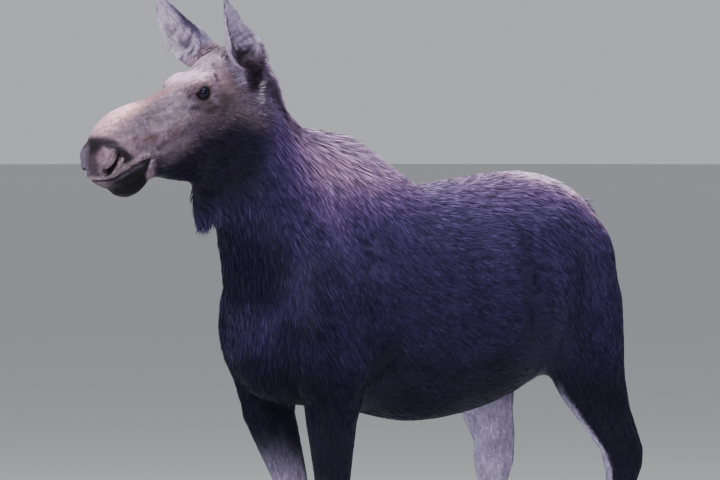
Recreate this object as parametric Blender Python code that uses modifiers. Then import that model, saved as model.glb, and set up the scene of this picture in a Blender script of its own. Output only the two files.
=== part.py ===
"""Adult cow moose, standing, with her head raised and her ears up.

Metres, +Z up. She faces -Y and her left side is +X. The solids are the animal's outer form, out to the
tips of the coat. The body is lofted whole, joined, smoothed and then parted with thin cuts, so that its
pieces meet face to face. The eyes, claws and dewclaws are solids of their own.

While she is modelled, x = 0 is the midline of the trunk, y = 0 the line between the elbows and z = 0 the
ground. At the end everything moves so that the origin is the bottom centre of her bounding box.
"""

import math

import bmesh
import bpy
import numpy as np
from mathutils import Matrix, Vector

# ---------------------------------------------------------------------------------------------------
# Driving dimensions
# ---------------------------------------------------------------------------------------------------
GAP = 0.0004  # width of a cut, and the clearance round a solid set into another
REMESH_VOXEL = 0.007
BODY_TRIANGLES = 3400
HEAD_KEEP = 0.004  # how strongly the head keeps its triangles when the body's are thinned out
RING_POINTS = 32
RINGS_PER_STATION = 4

HEAD_PITCH = math.radians(29)  # muzzle below the poll
POLL = Vector((-0.02, -0.198, 1.957))  # the point of the neck that the head turns about

# Places on the head are (left, forward, up) in the head's own frame, whose origin is the poll.
EYE_RADIUS = 0.0205
EYE_CENTRE = (0.0765, 0.224, 0.017)
NOSTRIL_CENTRE = (0.078, 0.606, -0.006)
NOSTRIL_RADII = (0.022, 0.038, 0.011)
NOSTRIL_SLOPE = math.radians(-21)

EAR_LENGTH = 0.294
EAR_HALF_WIDTH = 0.064
# Each row: the root, the way the ear points and the way it opens.
EARS = {
    "left": ((0.088, 0.046, -0.035), (0.054, 0.020, 0.284), (1.00, -0.42, -0.22)),
    "right": ((-0.078, 0.040, 0.000), (-0.142, 0.000, 0.270), (0.50, 0.82, 0.30)),
}
# The ears are parted from the head by planes square to this direction, this far from the poll.
EAR_SEAM_WAY = (0.6, 0.0, 0.8)
EAR_SEAM = 0.080

CORONET = 0.066  # height of the coronet above the ground, over the middle of the foot
CORONET_SLOPE = 0.30  # rise of the coronet towards the toe
CLAW_LENGTH = 0.128
CLAW_WIDTH = 0.052
CLAW_CLEFT = 0.006

# The trunk, from the breast to the tail. Each row: y, height of the back, height of the belly, half width,
# height of the widest place as a share of the depth, fullness above it and below it (2 is an ellipse).
TRUNK = {
    "breast": (-0.205, 1.26, 1.06, 0.050, 0.50, 2.0, 2.0),
    "brisket": (-0.185, 1.38, 0.990, 0.115, 0.45, 2.0, 2.0),
    "point of shoulder": (-0.13, 1.60, 0.930, 0.185, 0.40, 2.0, 2.0),
    "elbow": (0.0, 1.745, 0.902, 0.236, 0.36, 1.75, 2.1),
    "withers": (0.10, 1.755, 0.895, 0.256, 0.36, 1.55, 2.1),
    "behind shoulder": (0.21, 1.727, 0.876, 0.270, 0.37, 1.55, 2.1),
    "foot of hump": (0.34, 1.643, 0.844, 0.290, 0.38, 1.75, 2.1),
    "back": (0.44, 1.582, 0.834, 0.305, 0.40, 2.0, 2.1),
    "barrel": (0.60, 1.594, 0.850, 0.315, 0.40, 2.0, 2.1),
    "loin": (0.75, 1.611, 0.890, 0.300, 0.44, 2.0, 2.1),
    "hip": (0.88, 1.616, 0.940, 0.275, 0.50, 2.0, 2.1),
    "croup": (1.00, 1.594, 0.985, 0.240, 0.50, 2.0, 2.0),
    "pin bone": (1.09, 1.540, 1.040, 0.190, 0.50, 2.0, 2.0),
    "rump": (1.160, 1.450, 1.120, 0.120, 0.50, 2.0, 2.0),
    "tail head": (1.182, 1.370, 1.190, 0.050, 0.50, 2.0, 2.0),
}

# The neck, upwards. Each row: crest point, throat point, half width, share of the widest place, fullness
# of the crest and of the throat.
NECK = {
    "root": ((0.0, 0.12, 1.740), (0.0, -0.13, 1.000), 0.190, 0.45, 1.8, 2.2),
    "breast": ((0.0, 0.05, 1.762), (0.0, -0.212, 1.160), 0.178, 0.45, 1.8, 2.2),
    "low neck": ((0.0, -0.003, 1.772), (-0.005, -0.240, 1.300), 0.158, 0.45, 1.9, 2.2),
    "mid neck": ((-0.005, -0.060, 1.830), (-0.012, -0.262, 1.420), 0.138, 0.45, 1.9, 2.2),
    "gullet": ((-0.012, -0.118, 1.915), (-0.022, -0.322, 1.545), 0.120, 0.45, 1.9, 2.2),
    "nape": ((-0.02, -0.182, 1.968), (-0.032, -0.395, 1.605), 0.098, 0.50, 2.0, 2.2),
}

# The head, forwards from the poll, in its own frame. Each row: distance forward, top, bottom, half width,
# share of the widest place, fullness above and below it.
HEAD = {
    "occiput": (-0.060, 0.000, -0.200, 0.072, 0.60, 2.0, 2.0),
    "poll": (-0.015, 0.042, -0.250, 0.088, 0.62, 2.0, 2.2),
    "crown": (0.035, 0.059, -0.266, 0.094, 0.66, 2.2, 2.2),
    "forehead": (0.110, 0.063, -0.270, 0.090, 0.68, 2.5, 2.0),
    "orbit": (0.200, 0.066, -0.262, 0.088, 0.70, 2.5, 1.9),
    "face": (0.280, 0.070, -0.250, 0.078, 0.64, 2.2, 1.9),
    "nasal": (0.345, 0.077, -0.230, 0.068, 0.57, 2.1, 2.0),
    "bars": (0.400, 0.089, -0.186, 0.063, 0.50, 2.1, 2.1),
    "mouth corner": (0.455, 0.102, -0.140, 0.064, 0.48, 2.2, 2.2),
    "muzzle": (0.505, 0.104, -0.105, 0.072, 0.46, 2.3, 2.4),
    "nostril": (0.555, 0.091, -0.094, 0.079, 0.44, 2.3, 2.5),
    "upper lip": (0.594, 0.065, -0.090, 0.077, 0.44, 2.3, 2.5),
    "nose pad": (0.623, 0.030, -0.078, 0.067, 0.44, 2.3, 2.3),
    "nose tip": (0.641, -0.006, -0.060, 0.044, 0.45, 2.0, 2.0),
}

LOWER_JAW = {
    "jaw root": (0.290, -0.100, -0.235, 0.052, 0.50, 2.0, 2.0),
    "jaw": (0.380, -0.080, -0.204, 0.054, 0.55, 2.0, 2.0),
    "chin groove": (0.450, -0.070, -0.150, 0.047, 0.60, 2.2, 2.0),
    "behind chin": (0.492, -0.062, -0.136, 0.047, 0.60, 2.2, 2.2),
    "chin": (0.540, -0.056, -0.144, 0.049, 0.60, 2.3, 2.2),
    "lower lip": (0.575, -0.060, -0.139, 0.045, 0.60, 2.3, 2.2),
    "lip edge": (0.598, -0.072, -0.119, 0.034, 0.60, 2.0, 2.0),
    "lip tip": (0.610, -0.084, -0.104, 0.016, 0.50, 2.0, 2.0),
}

# The mouth, from its front back to the corner and down behind the chin: forward and up in the head's frame.
MOUTH_CUT = (
    (0.740, -0.100),
    (0.640, -0.084),
    (0.595, -0.065),
    (0.544, -0.055),
    (0.502, -0.062),
    (0.466, -0.073),
    (0.450, -0.095),
    (0.430, -0.220),
)

# The legs, downwards: x (her left side), y, z, half the depth from front to back, half the width.
FORELEG = {
    "blade": (0.120, 0.080, 1.500, 0.110, 0.060),
    "shoulder": (0.150, 0.010, 1.300, 0.150, 0.085),
    "point of shoulder": (0.165, -0.020, 1.140, 0.150, 0.088),
    "elbow": (0.165, 0.010, 0.990, 0.118, 0.078),
    "forearm": (0.160, 0.008, 0.880, 0.092, 0.068),
    "middle forearm": (0.155, 0.012, 0.800, 0.077, 0.062),
    "lower forearm": (0.149, 0.019, 0.700, 0.062, 0.054),
    "above knee": (0.145, 0.020, 0.610, 0.052, 0.048),
    "knee": (0.142, 0.016, 0.545, 0.057, 0.053),
    "below knee": (0.140, 0.022, 0.470, 0.044, 0.042),
    "cannon": (0.137, 0.028, 0.370, 0.033, 0.030),
    "lower cannon": (0.135, 0.028, 0.240, 0.032, 0.030),
    "fetlock": (0.134, 0.022, 0.180, 0.043, 0.039),
    "pastern": (0.134, -0.002, 0.118, 0.035, 0.037),
    "coronet": (0.134, -0.018, 0.075, 0.046, 0.049),
    "foot": (0.134, -0.024, 0.035, 0.050, 0.051),
}

HIND_LEG = {
    "hip": (0.115, 0.960, 1.420, 0.150, 0.090),
    "thigh": (0.150, 0.980, 1.220, 0.185, 0.102),
    "lower thigh": (0.158, 1.015, 1.070, 0.170, 0.088),
    "stifle": (0.155, 1.063, 0.950, 0.135, 0.072),
    "gaskin": (0.146, 1.125, 0.840, 0.096, 0.060),
    "above hock": (0.140, 1.182, 0.755, 0.080, 0.046),
    "hock": (0.138, 1.207, 0.685, 0.078, 0.044),
    "below hock": (0.135, 1.196, 0.600, 0.054, 0.039),
    "shank": (0.132, 1.180, 0.500, 0.039, 0.034),
    "cannon": (0.131, 1.165, 0.380, 0.035, 0.031),
    "lower cannon": (0.130, 1.148, 0.255, 0.034, 0.031),
    "fetlock": (0.130, 1.138, 0.190, 0.045, 0.040),
    "pastern": (0.130, 1.112, 0.122, 0.036, 0.037),
    "coronet": (0.130, 1.094, 0.078, 0.046, 0.049),
    "foot": (0.130, 1.088, 0.035, 0.050, 0.051),
}

# The stance. Each row: stations, side, the joint the leg swings from, and how far back that swing carries
# the knee or hock and the foot.
LEGS = {
    "left_fore": (FORELEG, 1, "forearm", 0.0, 0.0),
    "right_fore": (FORELEG, -1, "forearm", 0.094, 0.150),
    "left_hind": (HIND_LEG, 1, "hip", 0.0, 0.0),
    "right_hind": (HIND_LEG, -1, "hip", -0.313, -0.310),
}

# Heights at which the legs are parted.
UPPER_CUT = 0.880
KNEE_CUT = 0.500
HOCK_CUT = 0.630
FETLOCK_CUT = 0.174

BELL = {
    "root": (-0.316, 1.600, 0.078, 0.032),
    "upper": (-0.331, 1.565, 0.055, 0.030),
    "middle": (-0.336, 1.520, 0.046, 0.026),
    "lower": (-0.336, 1.478, 0.044, 0.020),
    "end": (-0.334, 1.454, 0.040, 0.014),
}
BELL_X = -0.030

TAIL = {
    "root": (1.115, 1.510, 0.040, 0.046),
    "dock": (1.165, 1.468, 0.032, 0.042),
    "middle": (1.190, 1.420, 0.024, 0.034),
    "tip": (1.200, 1.378, 0.014, 0.018),
}

COLOURS = {
    "coat": (0.030, 0.024, 0.026),
    "face": (0.150, 0.105, 0.095),
    "ear": (0.170, 0.140, 0.150),
    "shank": (0.120, 0.095, 0.085),
    "eye": (0.012, 0.008, 0.007),
    "claw": (0.035, 0.030, 0.027),
}
ROUGHNESS = {"eye": 0.08, "claw": 0.45}
COAT_ROUGHNESS = 0.75


# ---------------------------------------------------------------------------------------------------
# Frames, curves and sections
# ---------------------------------------------------------------------------------------------------
def head_frame():
    """Takes (left, forward, up) of the head to the world."""
    pitch = Matrix.Rotation(HEAD_PITCH, 4, "X")
    facing = Matrix(((1, 0, 0, 0), (0, -1, 0, 0), (0, 0, 1, 0), (0, 0, 0, 1)))
    return Matrix.Translation(POLL) @ pitch @ facing


HEAD_FRAME = head_frame()
WORLD = Matrix.Identity(4)


def in_head(left, forward, up):
    return HEAD_FRAME @ Vector((left, forward, up))


def head_vector(direction):
    return (HEAD_FRAME.to_3x3() @ Vector(direction)).normalized()


def smooth_rows(rows, per_span):
    """The rows with more between each two, on a Catmull-Rom curve through them all."""
    rows = np.array(rows, float)
    padded = np.vstack([2 * rows[0] - rows[1], rows, 2 * rows[-1] - rows[-2]])
    out = []
    for i in range(len(rows) - 1):
        a, b, c, d = padded[i : i + 4]
        for t in np.arange(per_span) / per_span:
            bend = (c - a) * t + (2 * a - 5 * b + 4 * c - d) * t**2 + (3 * b - a - 3 * c + d) * t**3
            out.append(b + 0.5 * bend)
    out.append(rows[-1])
    return out


def section(top, bottom, side, half_width, widest, full_top, full_bottom):
    """A closed ring between a top and a bottom point, widest at a share of the way up."""
    top, bottom, side = (np.array(v, float) for v in (top, bottom, side))
    ring = []
    for angle in np.linspace(0, 2 * math.pi, RING_POINTS, endpoint=False):
        across, along = math.cos(angle), math.sin(angle)
        full = full_top if along >= 0 else full_bottom
        across = math.copysign(abs(across) ** (2 / full), across)
        along = math.copysign(abs(along) ** (2 / full), along)
        share = widest + along * ((1 - widest) if along >= 0 else widest)
        ring.append(bottom + (top - bottom) * share + side * half_width * across)
    return ring


def ramp(value, low, high):
    return min(max((value - low) / (high - low), 0.0), 1.0)


# ---------------------------------------------------------------------------------------------------
# Meshes
# ---------------------------------------------------------------------------------------------------
def object_of(name, mesh):
    data = bpy.data.meshes.new(name)
    bmesh.ops.recalc_face_normals(mesh, faces=mesh.faces)
    mesh.to_mesh(data)
    mesh.free()
    obj = bpy.data.objects.new(name, data)
    bpy.context.scene.collection.objects.link(obj)
    return obj


def loft(name, rings):
    """A closed mesh through the rings, with flat ends."""
    mesh = bmesh.new()
    loops = [[mesh.verts.new(point) for point in ring] for ring in rings]
    for first, second in zip(loops, loops[1:]):
        for i in range(len(first)):
            j = (i + 1) % len(first)
            mesh.faces.new((first[i], first[j], second[j], second[i]))
    mesh.faces.new(loops[0])
    mesh.faces.new(loops[-1])
    return object_of(name, mesh)


def lump(name, place, radii, segments=16):
    """A muscle, a bone's end or a pad: an ellipsoid."""
    mesh = bmesh.new()
    bmesh.ops.create_uvsphere(mesh, u_segments=segments, v_segments=segments * 5 // 8, radius=1)
    bmesh.ops.transform(mesh, matrix=place @ Matrix.Diagonal((*radii, 1)), verts=mesh.verts)
    return object_of(name, mesh)


def head_lump(name, left, forward, up, radii, tilt=0.0):
    """A lump placed in the head's frame, its radii being (across, along, up)."""
    turn = HEAD_FRAME.to_3x3().to_4x4() @ Matrix.Rotation(tilt, 4, "X")
    return lump(name, Matrix.Translation(in_head(left, forward, up)) @ turn, radii)


def applied(obj):
    """Replaces the object's mesh by what its modifiers make of it."""
    graph = bpy.context.evaluated_depsgraph_get()
    data = bpy.data.meshes.new_from_object(obj.evaluated_get(graph))
    obj.modifiers.clear()
    old = obj.data
    obj.data = data
    bpy.data.meshes.remove(old)
    return obj


def joined(name, forms):
    mesh = bmesh.new()
    for form in forms:
        mesh.from_mesh(form.data)
        bpy.data.objects.remove(form)
    return object_of(name, mesh)


def combine(obj, other, operation):
    boolean = obj.modifiers.new(operation.lower(), "BOOLEAN")
    boolean.operation = operation
    boolean.solver = "EXACT"
    boolean.object = other
    applied(obj)


def weight_group(obj, name, weight_of):
    group = obj.vertex_groups.new(name=name)
    for vertex in obj.data.vertices:
        group.add([vertex.index], weight_of(vertex.co), "REPLACE")
    return name


def blade(name, frame, line, low_x, high_x):
    """A cutter as thick as GAP that follows a line of (y, z) places of the frame, from low_x to high_x."""
    points = [Vector(point) for point in line]
    runs = [(b - a).normalized() for a, b in zip(points, points[1:])]
    normals = [Vector((-run.y, run.x)) for run in runs]
    offsets = [normals[0]]
    for before, after in zip(normals, normals[1:]):
        middle = (before + after).normalized()
        offsets.append(middle / middle.dot(after))
    offsets.append(normals[-1])
    outline = [point + offset * GAP / 2 for point, offset in zip(points, offsets)]
    outline += [point - offset * GAP / 2 for point, offset in zip(points[::-1], offsets[::-1])]
    return loft(name, [[frame @ Vector((x, *point)) for point in outline] for x in (low_x, high_x)])


# ---------------------------------------------------------------------------------------------------
# The body's forms
# ---------------------------------------------------------------------------------------------------
def trunk():
    rings = []
    for y, back, belly, *rest in smooth_rows(list(TRUNK.values()), RINGS_PER_STATION):
        rings.append(section((0, y, back), (0, y, belly), (1, 0, 0), *rest))
    return loft("trunk_form", rings)


def neck():
    rows = [(*crest, *throat, *rest) for crest, throat, *rest in NECK.values()]
    rows = smooth_rows(rows, RINGS_PER_STATION)
    rings = [section(row[:3], row[3:6], (1, 0, 0), *row[6:]) for row in rows]
    return loft("neck_form", rings)


def head_loft(name, stations):
    side = head_vector((1, 0, 0))
    rings = []
    for forward, top, bottom, *rest in smooth_rows(list(stations.values()), RINGS_PER_STATION):
        rings.append(section(in_head(0, forward, top), in_head(0, forward, bottom), side, *rest))
    return loft(name, rings)


def swing_at(z, stations, pivot, at_joint, at_foot):
    """How far back a leg's swing carries the place at a height."""
    joint_z = stations["knee" if "knee" in stations else "hock"][2]
    if z >= joint_z:
        pivot_z = stations[pivot][2]
        return at_joint * ramp(-z, -pivot_z, -joint_z)
    return at_joint + (at_foot - at_joint) * (joint_z - z) / joint_z


def leg_place(leg, station):
    """The centre of a leg's station, in its stance."""
    stations, side, pivot, at_joint, at_foot = LEGS[leg]
    x, y, z = stations[station][:3]
    return Vector((side * x, y + swing_at(z, stations, pivot, at_joint, at_foot), z))


def limb(name, rows):
    """A loft down the rows of x, y, z, half depth and half width, each ring square to the limb."""
    rows = smooth_rows(rows, RINGS_PER_STATION)
    rings = []
    for i, (x, y, z, depth, width) in enumerate(rows):
        ahead, behind = rows[min(i + 1, len(rows) - 1)], rows[max(i - 1, 0)]
        run = np.array([0.0, ahead[1] - behind[1], ahead[2] - behind[2]])
        run /= np.linalg.norm(run)
        forward = np.array([0.0, run[2], -run[1]]) * depth
        centre = np.array([x, y, z])
        rings.append(section(centre + forward, centre - forward, (1, 0, 0), width, 0.5, 2.0, 2.0))
    return loft(name, rings)


def leg_form(leg):
    stations = LEGS[leg][0]
    return limb(leg + "_form", [(*leg_place(leg, name), *row[3:]) for name, row in stations.items()])


def hanging_form(name, x, stations):
    return limb(name, [(x, *row) for row in stations.values()])


def head_lumps():
    forms = []
    for side in (1, -1):
        forms += [
            head_lump("brow", side * 0.062, 0.205, 0.036, (0.034, 0.062, 0.034)),
            head_lump("cheek", side * 0.052, 0.180, -0.130, (0.044, 0.115, 0.085)),
            head_lump("cheek_bone", side * 0.066, 0.285, -0.022, (0.022, 0.095, 0.026), math.radians(-14)),
            head_lump("nostril_wing", side * 0.052, 0.580, 0.004, (0.036, 0.050, 0.042)),
            head_lump("lip_pad", side * 0.040, 0.545, -0.062, (0.034, 0.070, 0.034)),
            head_lump("ear_butt", side * 0.070, 0.030, -0.020, (0.034, 0.046, 0.045)),
        ]
    return forms


def body_lumps():
    forms = []
    for side in (1, -1):
        for name, x, y, z, radii in (
            ("shoulder_muscle", 0.180, 0.10, 1.20, (0.078, 0.130, 0.200)),
            ("shoulder_point", 0.140, -0.10, 1.13, (0.070, 0.085, 0.110)),
            ("hip_bone", 0.170, 0.84, 1.43, (0.080, 0.110, 0.090)),
            ("rump_muscle", 0.115, 1.02, 1.30, (0.115, 0.150, 0.200)),
        ):
            forms.append(lump(name, Matrix.Translation((side * x, y, z)), radii))
    return forms


def headness(point):
    """1 on the head and 0 on the rest of the body."""
    _, forward, up = HEAD_FRAME.inverted() @ point
    return ramp(forward, -0.05, 0.06) * ramp(up, -0.36, -0.28)


def whole_body():
    """Trunk, neck, head and legs as one closed mesh, with the joins between its forms smoothed."""
    forms = [trunk(), neck(), head_loft("head_form", HEAD), head_loft("jaw_form", LOWER_JAW)]
    forms += [leg_form(leg) for leg in LEGS]
    forms += head_lumps() + body_lumps()
    forms += [hanging_form("bell_form", BELL_X, BELL), hanging_form("tail_form", 0.0, TAIL)]
    body = joined("body", forms)
    remesh = body.modifiers.new("remesh", "REMESH")
    remesh.mode = "VOXEL"
    remesh.voxel_size = REMESH_VOXEL
    applied(body)

    def looseness(point):
        """How far a place is smoothed: most on the trunk, less on the head, least on the legs."""
        face = headness(point) * ramp((HEAD_FRAME.inverted() @ point).z, -0.26, -0.20)
        return 0.12 + 0.88 * ramp(point.z, 0.80, 1.00) * (1 - 0.68 * face)

    smooth = body.modifiers.new("smooth", "SMOOTH")
    smooth.factor = 0.5
    smooth.iterations = 30
    smooth.vertex_group = weight_group(body, "looseness", looseness)
    applied(body)
    body.vertex_groups.clear()

    decimate = body.modifiers.new("decimate", "DECIMATE")
    decimate.vertex_group = weight_group(body, "plainness", lambda point: 1 - 0.5 * headness(point))
    decimate.vertex_group_factor = HEAD_KEEP
    body.data.calc_loop_triangles()
    decimate.ratio = BODY_TRIANGLES / len(body.data.loop_triangles)
    decimate.use_collapse_triangulate = True
    applied(body)
    body.vertex_groups.clear()
    return body


# ---------------------------------------------------------------------------------------------------
# Ears
# ---------------------------------------------------------------------------------------------------
# Up the ear: share of its length, share of its half width, half the angle its wall curls through, how far
# its middle has bowed towards the opening and forward, as shares of the length, and the wall as a share of
# the curl's radius.
EAR_STATIONS = (
    (0.00, 0.30, 170, 0.000, 0.000, 0.90),
    (0.12, 0.58, 165, -0.004, 0.000, 0.85),
    (0.24, 0.88, 142, -0.008, 0.012, 0.50),
    (0.35, 0.98, 112, -0.008, 0.032, 0.18),
    (0.47, 0.99, 92, -0.004, 0.050, 0.12),
    (0.60, 0.84, 80, 0.004, 0.060, 0.12),
    (0.75, 0.68, 70, 0.014, 0.050, 0.12),
    (0.89, 0.42, 60, 0.022, 0.028, 0.14),
    (1.00, 0.09, 48, 0.026, 0.006, 0.40),
)
EAR_ARC_POINTS = 7


def ear_frame(side):
    """Takes (across, towards the opening, along the ear) to the world, from the ear's root."""
    root, pointing, opening = EARS[side]
    along = head_vector(pointing)
    across = head_vector(opening).cross(along).normalized()
    facing = along.cross(across)
    frame = Matrix((across, facing, along)).transposed().to_4x4()
    return Matrix.Translation(in_head(*root)) @ frame


def ear_form(side):
    """A shell, curled nearly shut at its root and opening out to a leaf."""
    frame = ear_frame(side)
    rings = []
    for share, width, curl, bow, sway, wall_share in smooth_rows(EAR_STATIONS, 2):
        curl = math.radians(curl)
        outer = EAR_HALF_WIDTH * width / math.sin(min(curl, math.pi / 2))
        wall = outer * wall_share
        back = EAR_LENGTH * bow - outer * (1 - math.cos(min(curl, math.pi / 2))) / 2
        angles = np.linspace(-curl, curl, EAR_ARC_POINTS)
        ring = []
        for radius, sweep in ((outer, angles), (outer - wall, angles[::-1])):
            for angle in sweep:
                across = radius * math.sin(angle) + EAR_LENGTH * sway
                facing = back + outer - radius * math.cos(angle)
                ring.append(frame @ Vector((across, facing, EAR_LENGTH * share)))
        rings.append(ring)
    return loft(side + "_ear_form", rings)


# ---------------------------------------------------------------------------------------------------
# Feet and eyes
# ---------------------------------------------------------------------------------------------------
# The outline of a claw's sole: share of the length forward of its middle, share of the width out from the
# cleft.
CLAW_OUTLINE = (
    (-0.50, 0.25),
    (-0.47, 0.62),
    (-0.36, 0.90),
    (-0.12, 1.00),
    (0.12, 0.96),
    (0.33, 0.72),
    (0.46, 0.40),
    (0.50, 0.14),
    (0.47, 0.02),
    (0.25, 0.00),
    (-0.15, 0.00),
    (-0.42, 0.03),
)
# Upwards: share of the height, share of the length, share of the width, and the lean back, as a share of
# the length.
CLAW_RISE = (
    (0.00, 1.00, 1.00, 0.000),
    (0.35, 0.93, 0.985, 0.020),
    (0.70, 0.83, 0.95, 0.055),
    (1.00, 0.73, 0.91, 0.090),
)
DEWCLAW_RADII = (0.014, 0.012, 0.026)


def foot_middle(leg):
    place = leg_place(leg, "foot")
    return Vector((place.x, place.y - 0.012, 0.0))


def claw(leg, which):
    """One of a foot's two claws: flat on the ground, its top sloping up to the toe."""
    side = LEGS[leg][1] * (1 if which == "outer" else -1)
    middle = foot_middle(leg)
    rings = []
    for rise, length, width, lean in CLAW_RISE:
        ring = []
        for forward, out in CLAW_OUTLINE:
            ahead = CLAW_LENGTH * (forward * length - lean)
            x = middle.x + side * (CLAW_CLEFT / 2 + CLAW_WIDTH * out * width)
            z = rise * (CORONET + CORONET_SLOPE * ahead)
            ring.append(Vector((x, middle.y - ahead, z)))
        rings.append(ring)
    return loft(f"{leg}_{which}_claw", rings)


def coronet_frame(leg):
    """Its plane z = 0 lies on the tops of a foot's claws."""
    return Matrix.Translation(foot_middle(leg) + Vector((0, 0, CORONET))) @ Matrix.Rotation(
        math.atan(-CORONET_SLOPE), 4, "X"
    )


def dewclaw(leg, which, grow=0.0):
    side = LEGS[leg][1] * (1 if which == "outer" else -1)
    fetlock, pastern = leg_place(leg, "fetlock"), leg_place(leg, "pastern")
    centre = fetlock.lerp(pastern, 0.75) + Vector((side * 0.021, 0.036, 0.0))
    turn = Matrix.Rotation(math.radians(24), 4, "X")
    radii = [radius + grow for radius in DEWCLAW_RADII]
    return lump(f"{leg}_{which}_dewclaw", Matrix.Translation(centre) @ turn, radii, 8)


def eye(side, grow=0.0):
    sign = 1 if side == "left" else -1
    left, forward, up = EYE_CENTRE
    place = Matrix.Translation(in_head(sign * left, forward, up)) @ Matrix.Rotation(math.pi / 2, 4, "Y")
    return lump(side + "_eye", place, [EYE_RADIUS + grow] * 3, 12)


def nostril(side):
    left, forward, up = NOSTRIL_CENTRE
    return head_lump("nostril", side * left, forward, up, NOSTRIL_RADII, NOSTRIL_SLOPE)


# ---------------------------------------------------------------------------------------------------
# Parting
# ---------------------------------------------------------------------------------------------------
def leg_blade(leg, station, z, reach):
    """A level cut across a leg at a height, centred near one of its stations."""
    place = leg_place(leg, station)
    frame = Matrix.Translation((place.x, place.y, z))
    return blade("leg_cut", frame, ((-reach, 0), (reach, 0)), -0.13, 0.13)


def first_cutters():
    """Cutters that keep clear of each other: seams, sockets, nostrils and the beds of the dewclaws."""
    cutters = [
        blade("nape_cut", WORLD, ((-0.100, 2.060), (-0.425, 1.556)), -0.20, 0.16),
        blade("shoulder_cut", WORLD, ((0.05, 1.86), (-0.31, 1.18)), -0.26, 0.26),
        blade("girth_cut", WORLD, ((0.270, 1.95), (0.270, 0.75)), -0.40, 0.40),
        blade("flank_cut", WORLD, ((0.820, 1.80), (0.675, 1.20), (0.675, 0.75)), -0.40, 0.40),
        blade("dock_cut", WORLD, ((1.148, 1.56), (1.190, 1.34)), -0.08, 0.08),
        blade("mouth_cut", HEAD_FRAME, MOUTH_CUT, -0.09, 0.09),
    ]
    for leg, (stations, *_) in LEGS.items():
        fore = "knee" in stations
        cutters += [
            leg_blade(leg, "forearm" if fore else "stifle", UPPER_CUT, 0.16),
            leg_blade(leg, "knee" if fore else "hock", KNEE_CUT if fore else HOCK_CUT, 0.12),
            leg_blade(leg, "fetlock", FETLOCK_CUT, 0.08),
            blade("coronet_cut", coronet_frame(leg), ((-0.11, GAP / 2), (0.11, GAP / 2)), -0.09, 0.09),
        ]
        cutters += [dewclaw(leg, which, GAP) for which in ("outer", "inner")]
    for side, sign in (("left", 1), ("right", -1)):
        cutters += [eye(side, GAP), nostril(sign)]
    return cutters


def ear_seam(side):
    """A cut across an ear's base, clear of the crown of the head."""
    sign = 1 if side == "left" else -1
    left, _, up = EAR_SEAM_WAY
    way = head_vector((sign * left, 0, up))
    along = head_vector((0, 1, 0))
    turn = Matrix((along.cross(way), along, way)).transposed().to_4x4()
    root, local_way = Vector(EARS[side][0]), Vector((sign * left, 0, up))
    middle = root + local_way * (EAR_SEAM - root.dot(local_way))
    frame = Matrix.Translation(in_head(*middle)) @ turn
    return blade("ear_cut", frame, ((-0.07, 0), (0.07, 0)), -0.07, 0.07)


def second_cutters():
    """Cutters that cross some of the first ones."""
    cutters = [ear_seam(side) for side in EARS]
    bell_line = ((-0.44, 1.556), (-0.325, 1.545), (-0.297, 1.43))
    cutters.append(blade("bell_cut", WORLD, bell_line, -0.12, 0.06))
    return cutters


def piece_centres():
    """Where each piece of the parted body has the middle of its box, near enough to tell it by."""
    centres = {
        "head": in_head(0, 0.31, -0.08),
        "lower_jaw": in_head(0, 0.53, -0.11),
        "neck": Vector((-0.01, -0.17, 1.60)),
        "bell": Vector((BELL_X, -0.34, 1.50)),
        "chest": Vector((0, 0.03, 1.31)),
        "barrel": Vector((0, 0.50, 1.23)),
        "hindquarters": Vector((0, 0.93, 1.25)),
        "tail": Vector((0, 1.19, 1.44)),
    }
    for side in EARS:
        centres[side + "_ear"] = ear_frame(side) @ Vector((0, 0, 0.55 * EAR_LENGTH))
    for leg, (stations, *_) in LEGS.items():
        fore = "knee" in stations
        centres[leg + "_upper"] = leg_place(leg, "lower forearm" if fore else "above hock")
        centres[leg + "_cannon"] = leg_place(leg, "cannon")
        centres[leg + "_pastern"] = leg_place(leg, "pastern")
    return centres


def box_middle(obj):
    corners = np.array(obj.bound_box)
    return Vector((corners.min(axis=0) + corners.max(axis=0)) / 2)


def without_foot_stubs(pieces):
    """Drops what the coronet cuts leave below them, where the claws stand."""
    kept = []
    for piece in pieces:
        if box_middle(piece).z < CORONET:
            bpy.data.objects.remove(piece)
        else:
            kept.append(piece)
    return kept


def parted(body):
    bpy.context.view_layer.objects.active = body
    body.select_set(True)
    bpy.ops.mesh.separate(type="LOOSE")
    pieces = without_foot_stubs(list(bpy.context.selected_objects))
    centres = piece_centres()
    if len(pieces) != len(centres):
        places = sorted(tuple(round(c, 3) for c in box_middle(piece)) for piece in pieces)
        raise ValueError(f"the cuts left {len(pieces)} pieces, not {len(centres)}: {places}")
    for piece in pieces:
        middle = box_middle(piece)
        name = min(centres, key=lambda key: (centres[key] - middle).length)
        centres.pop(name)
        piece.name = name
        piece.data.name = name
    return pieces


# ---------------------------------------------------------------------------------------------------
# Finish
# ---------------------------------------------------------------------------------------------------
def colour_of(name):
    for word, colour in (
        ("eye", "eye"),
        ("claw", "claw"),
        ("ear", "ear"),
        ("head", "face"),
        ("cannon", "shank"),
        ("pastern", "shank"),
    ):
        if name.endswith(word):
            return colour
    return "coat"


def dress(obj):
    kind = colour_of(obj.name)
    material = bpy.data.materials.new(obj.name)
    material.use_nodes = True
    shader = material.node_tree.nodes["Principled BSDF"]
    shader.inputs["Base Color"].default_value = (*COLOURS[kind], 1)
    shader.inputs["Roughness"].default_value = ROUGHNESS.get(kind, COAT_ROUGHNESS)
    shader.inputs["Metallic"].default_value = 0.0
    material.diffuse_color = (*COLOURS[kind], 1)
    obj.data.materials.clear()
    obj.data.materials.append(material)
    obj.data.shade_smooth()
    obj.data.set_sharp_from_angle(angle=math.radians(40))


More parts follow.
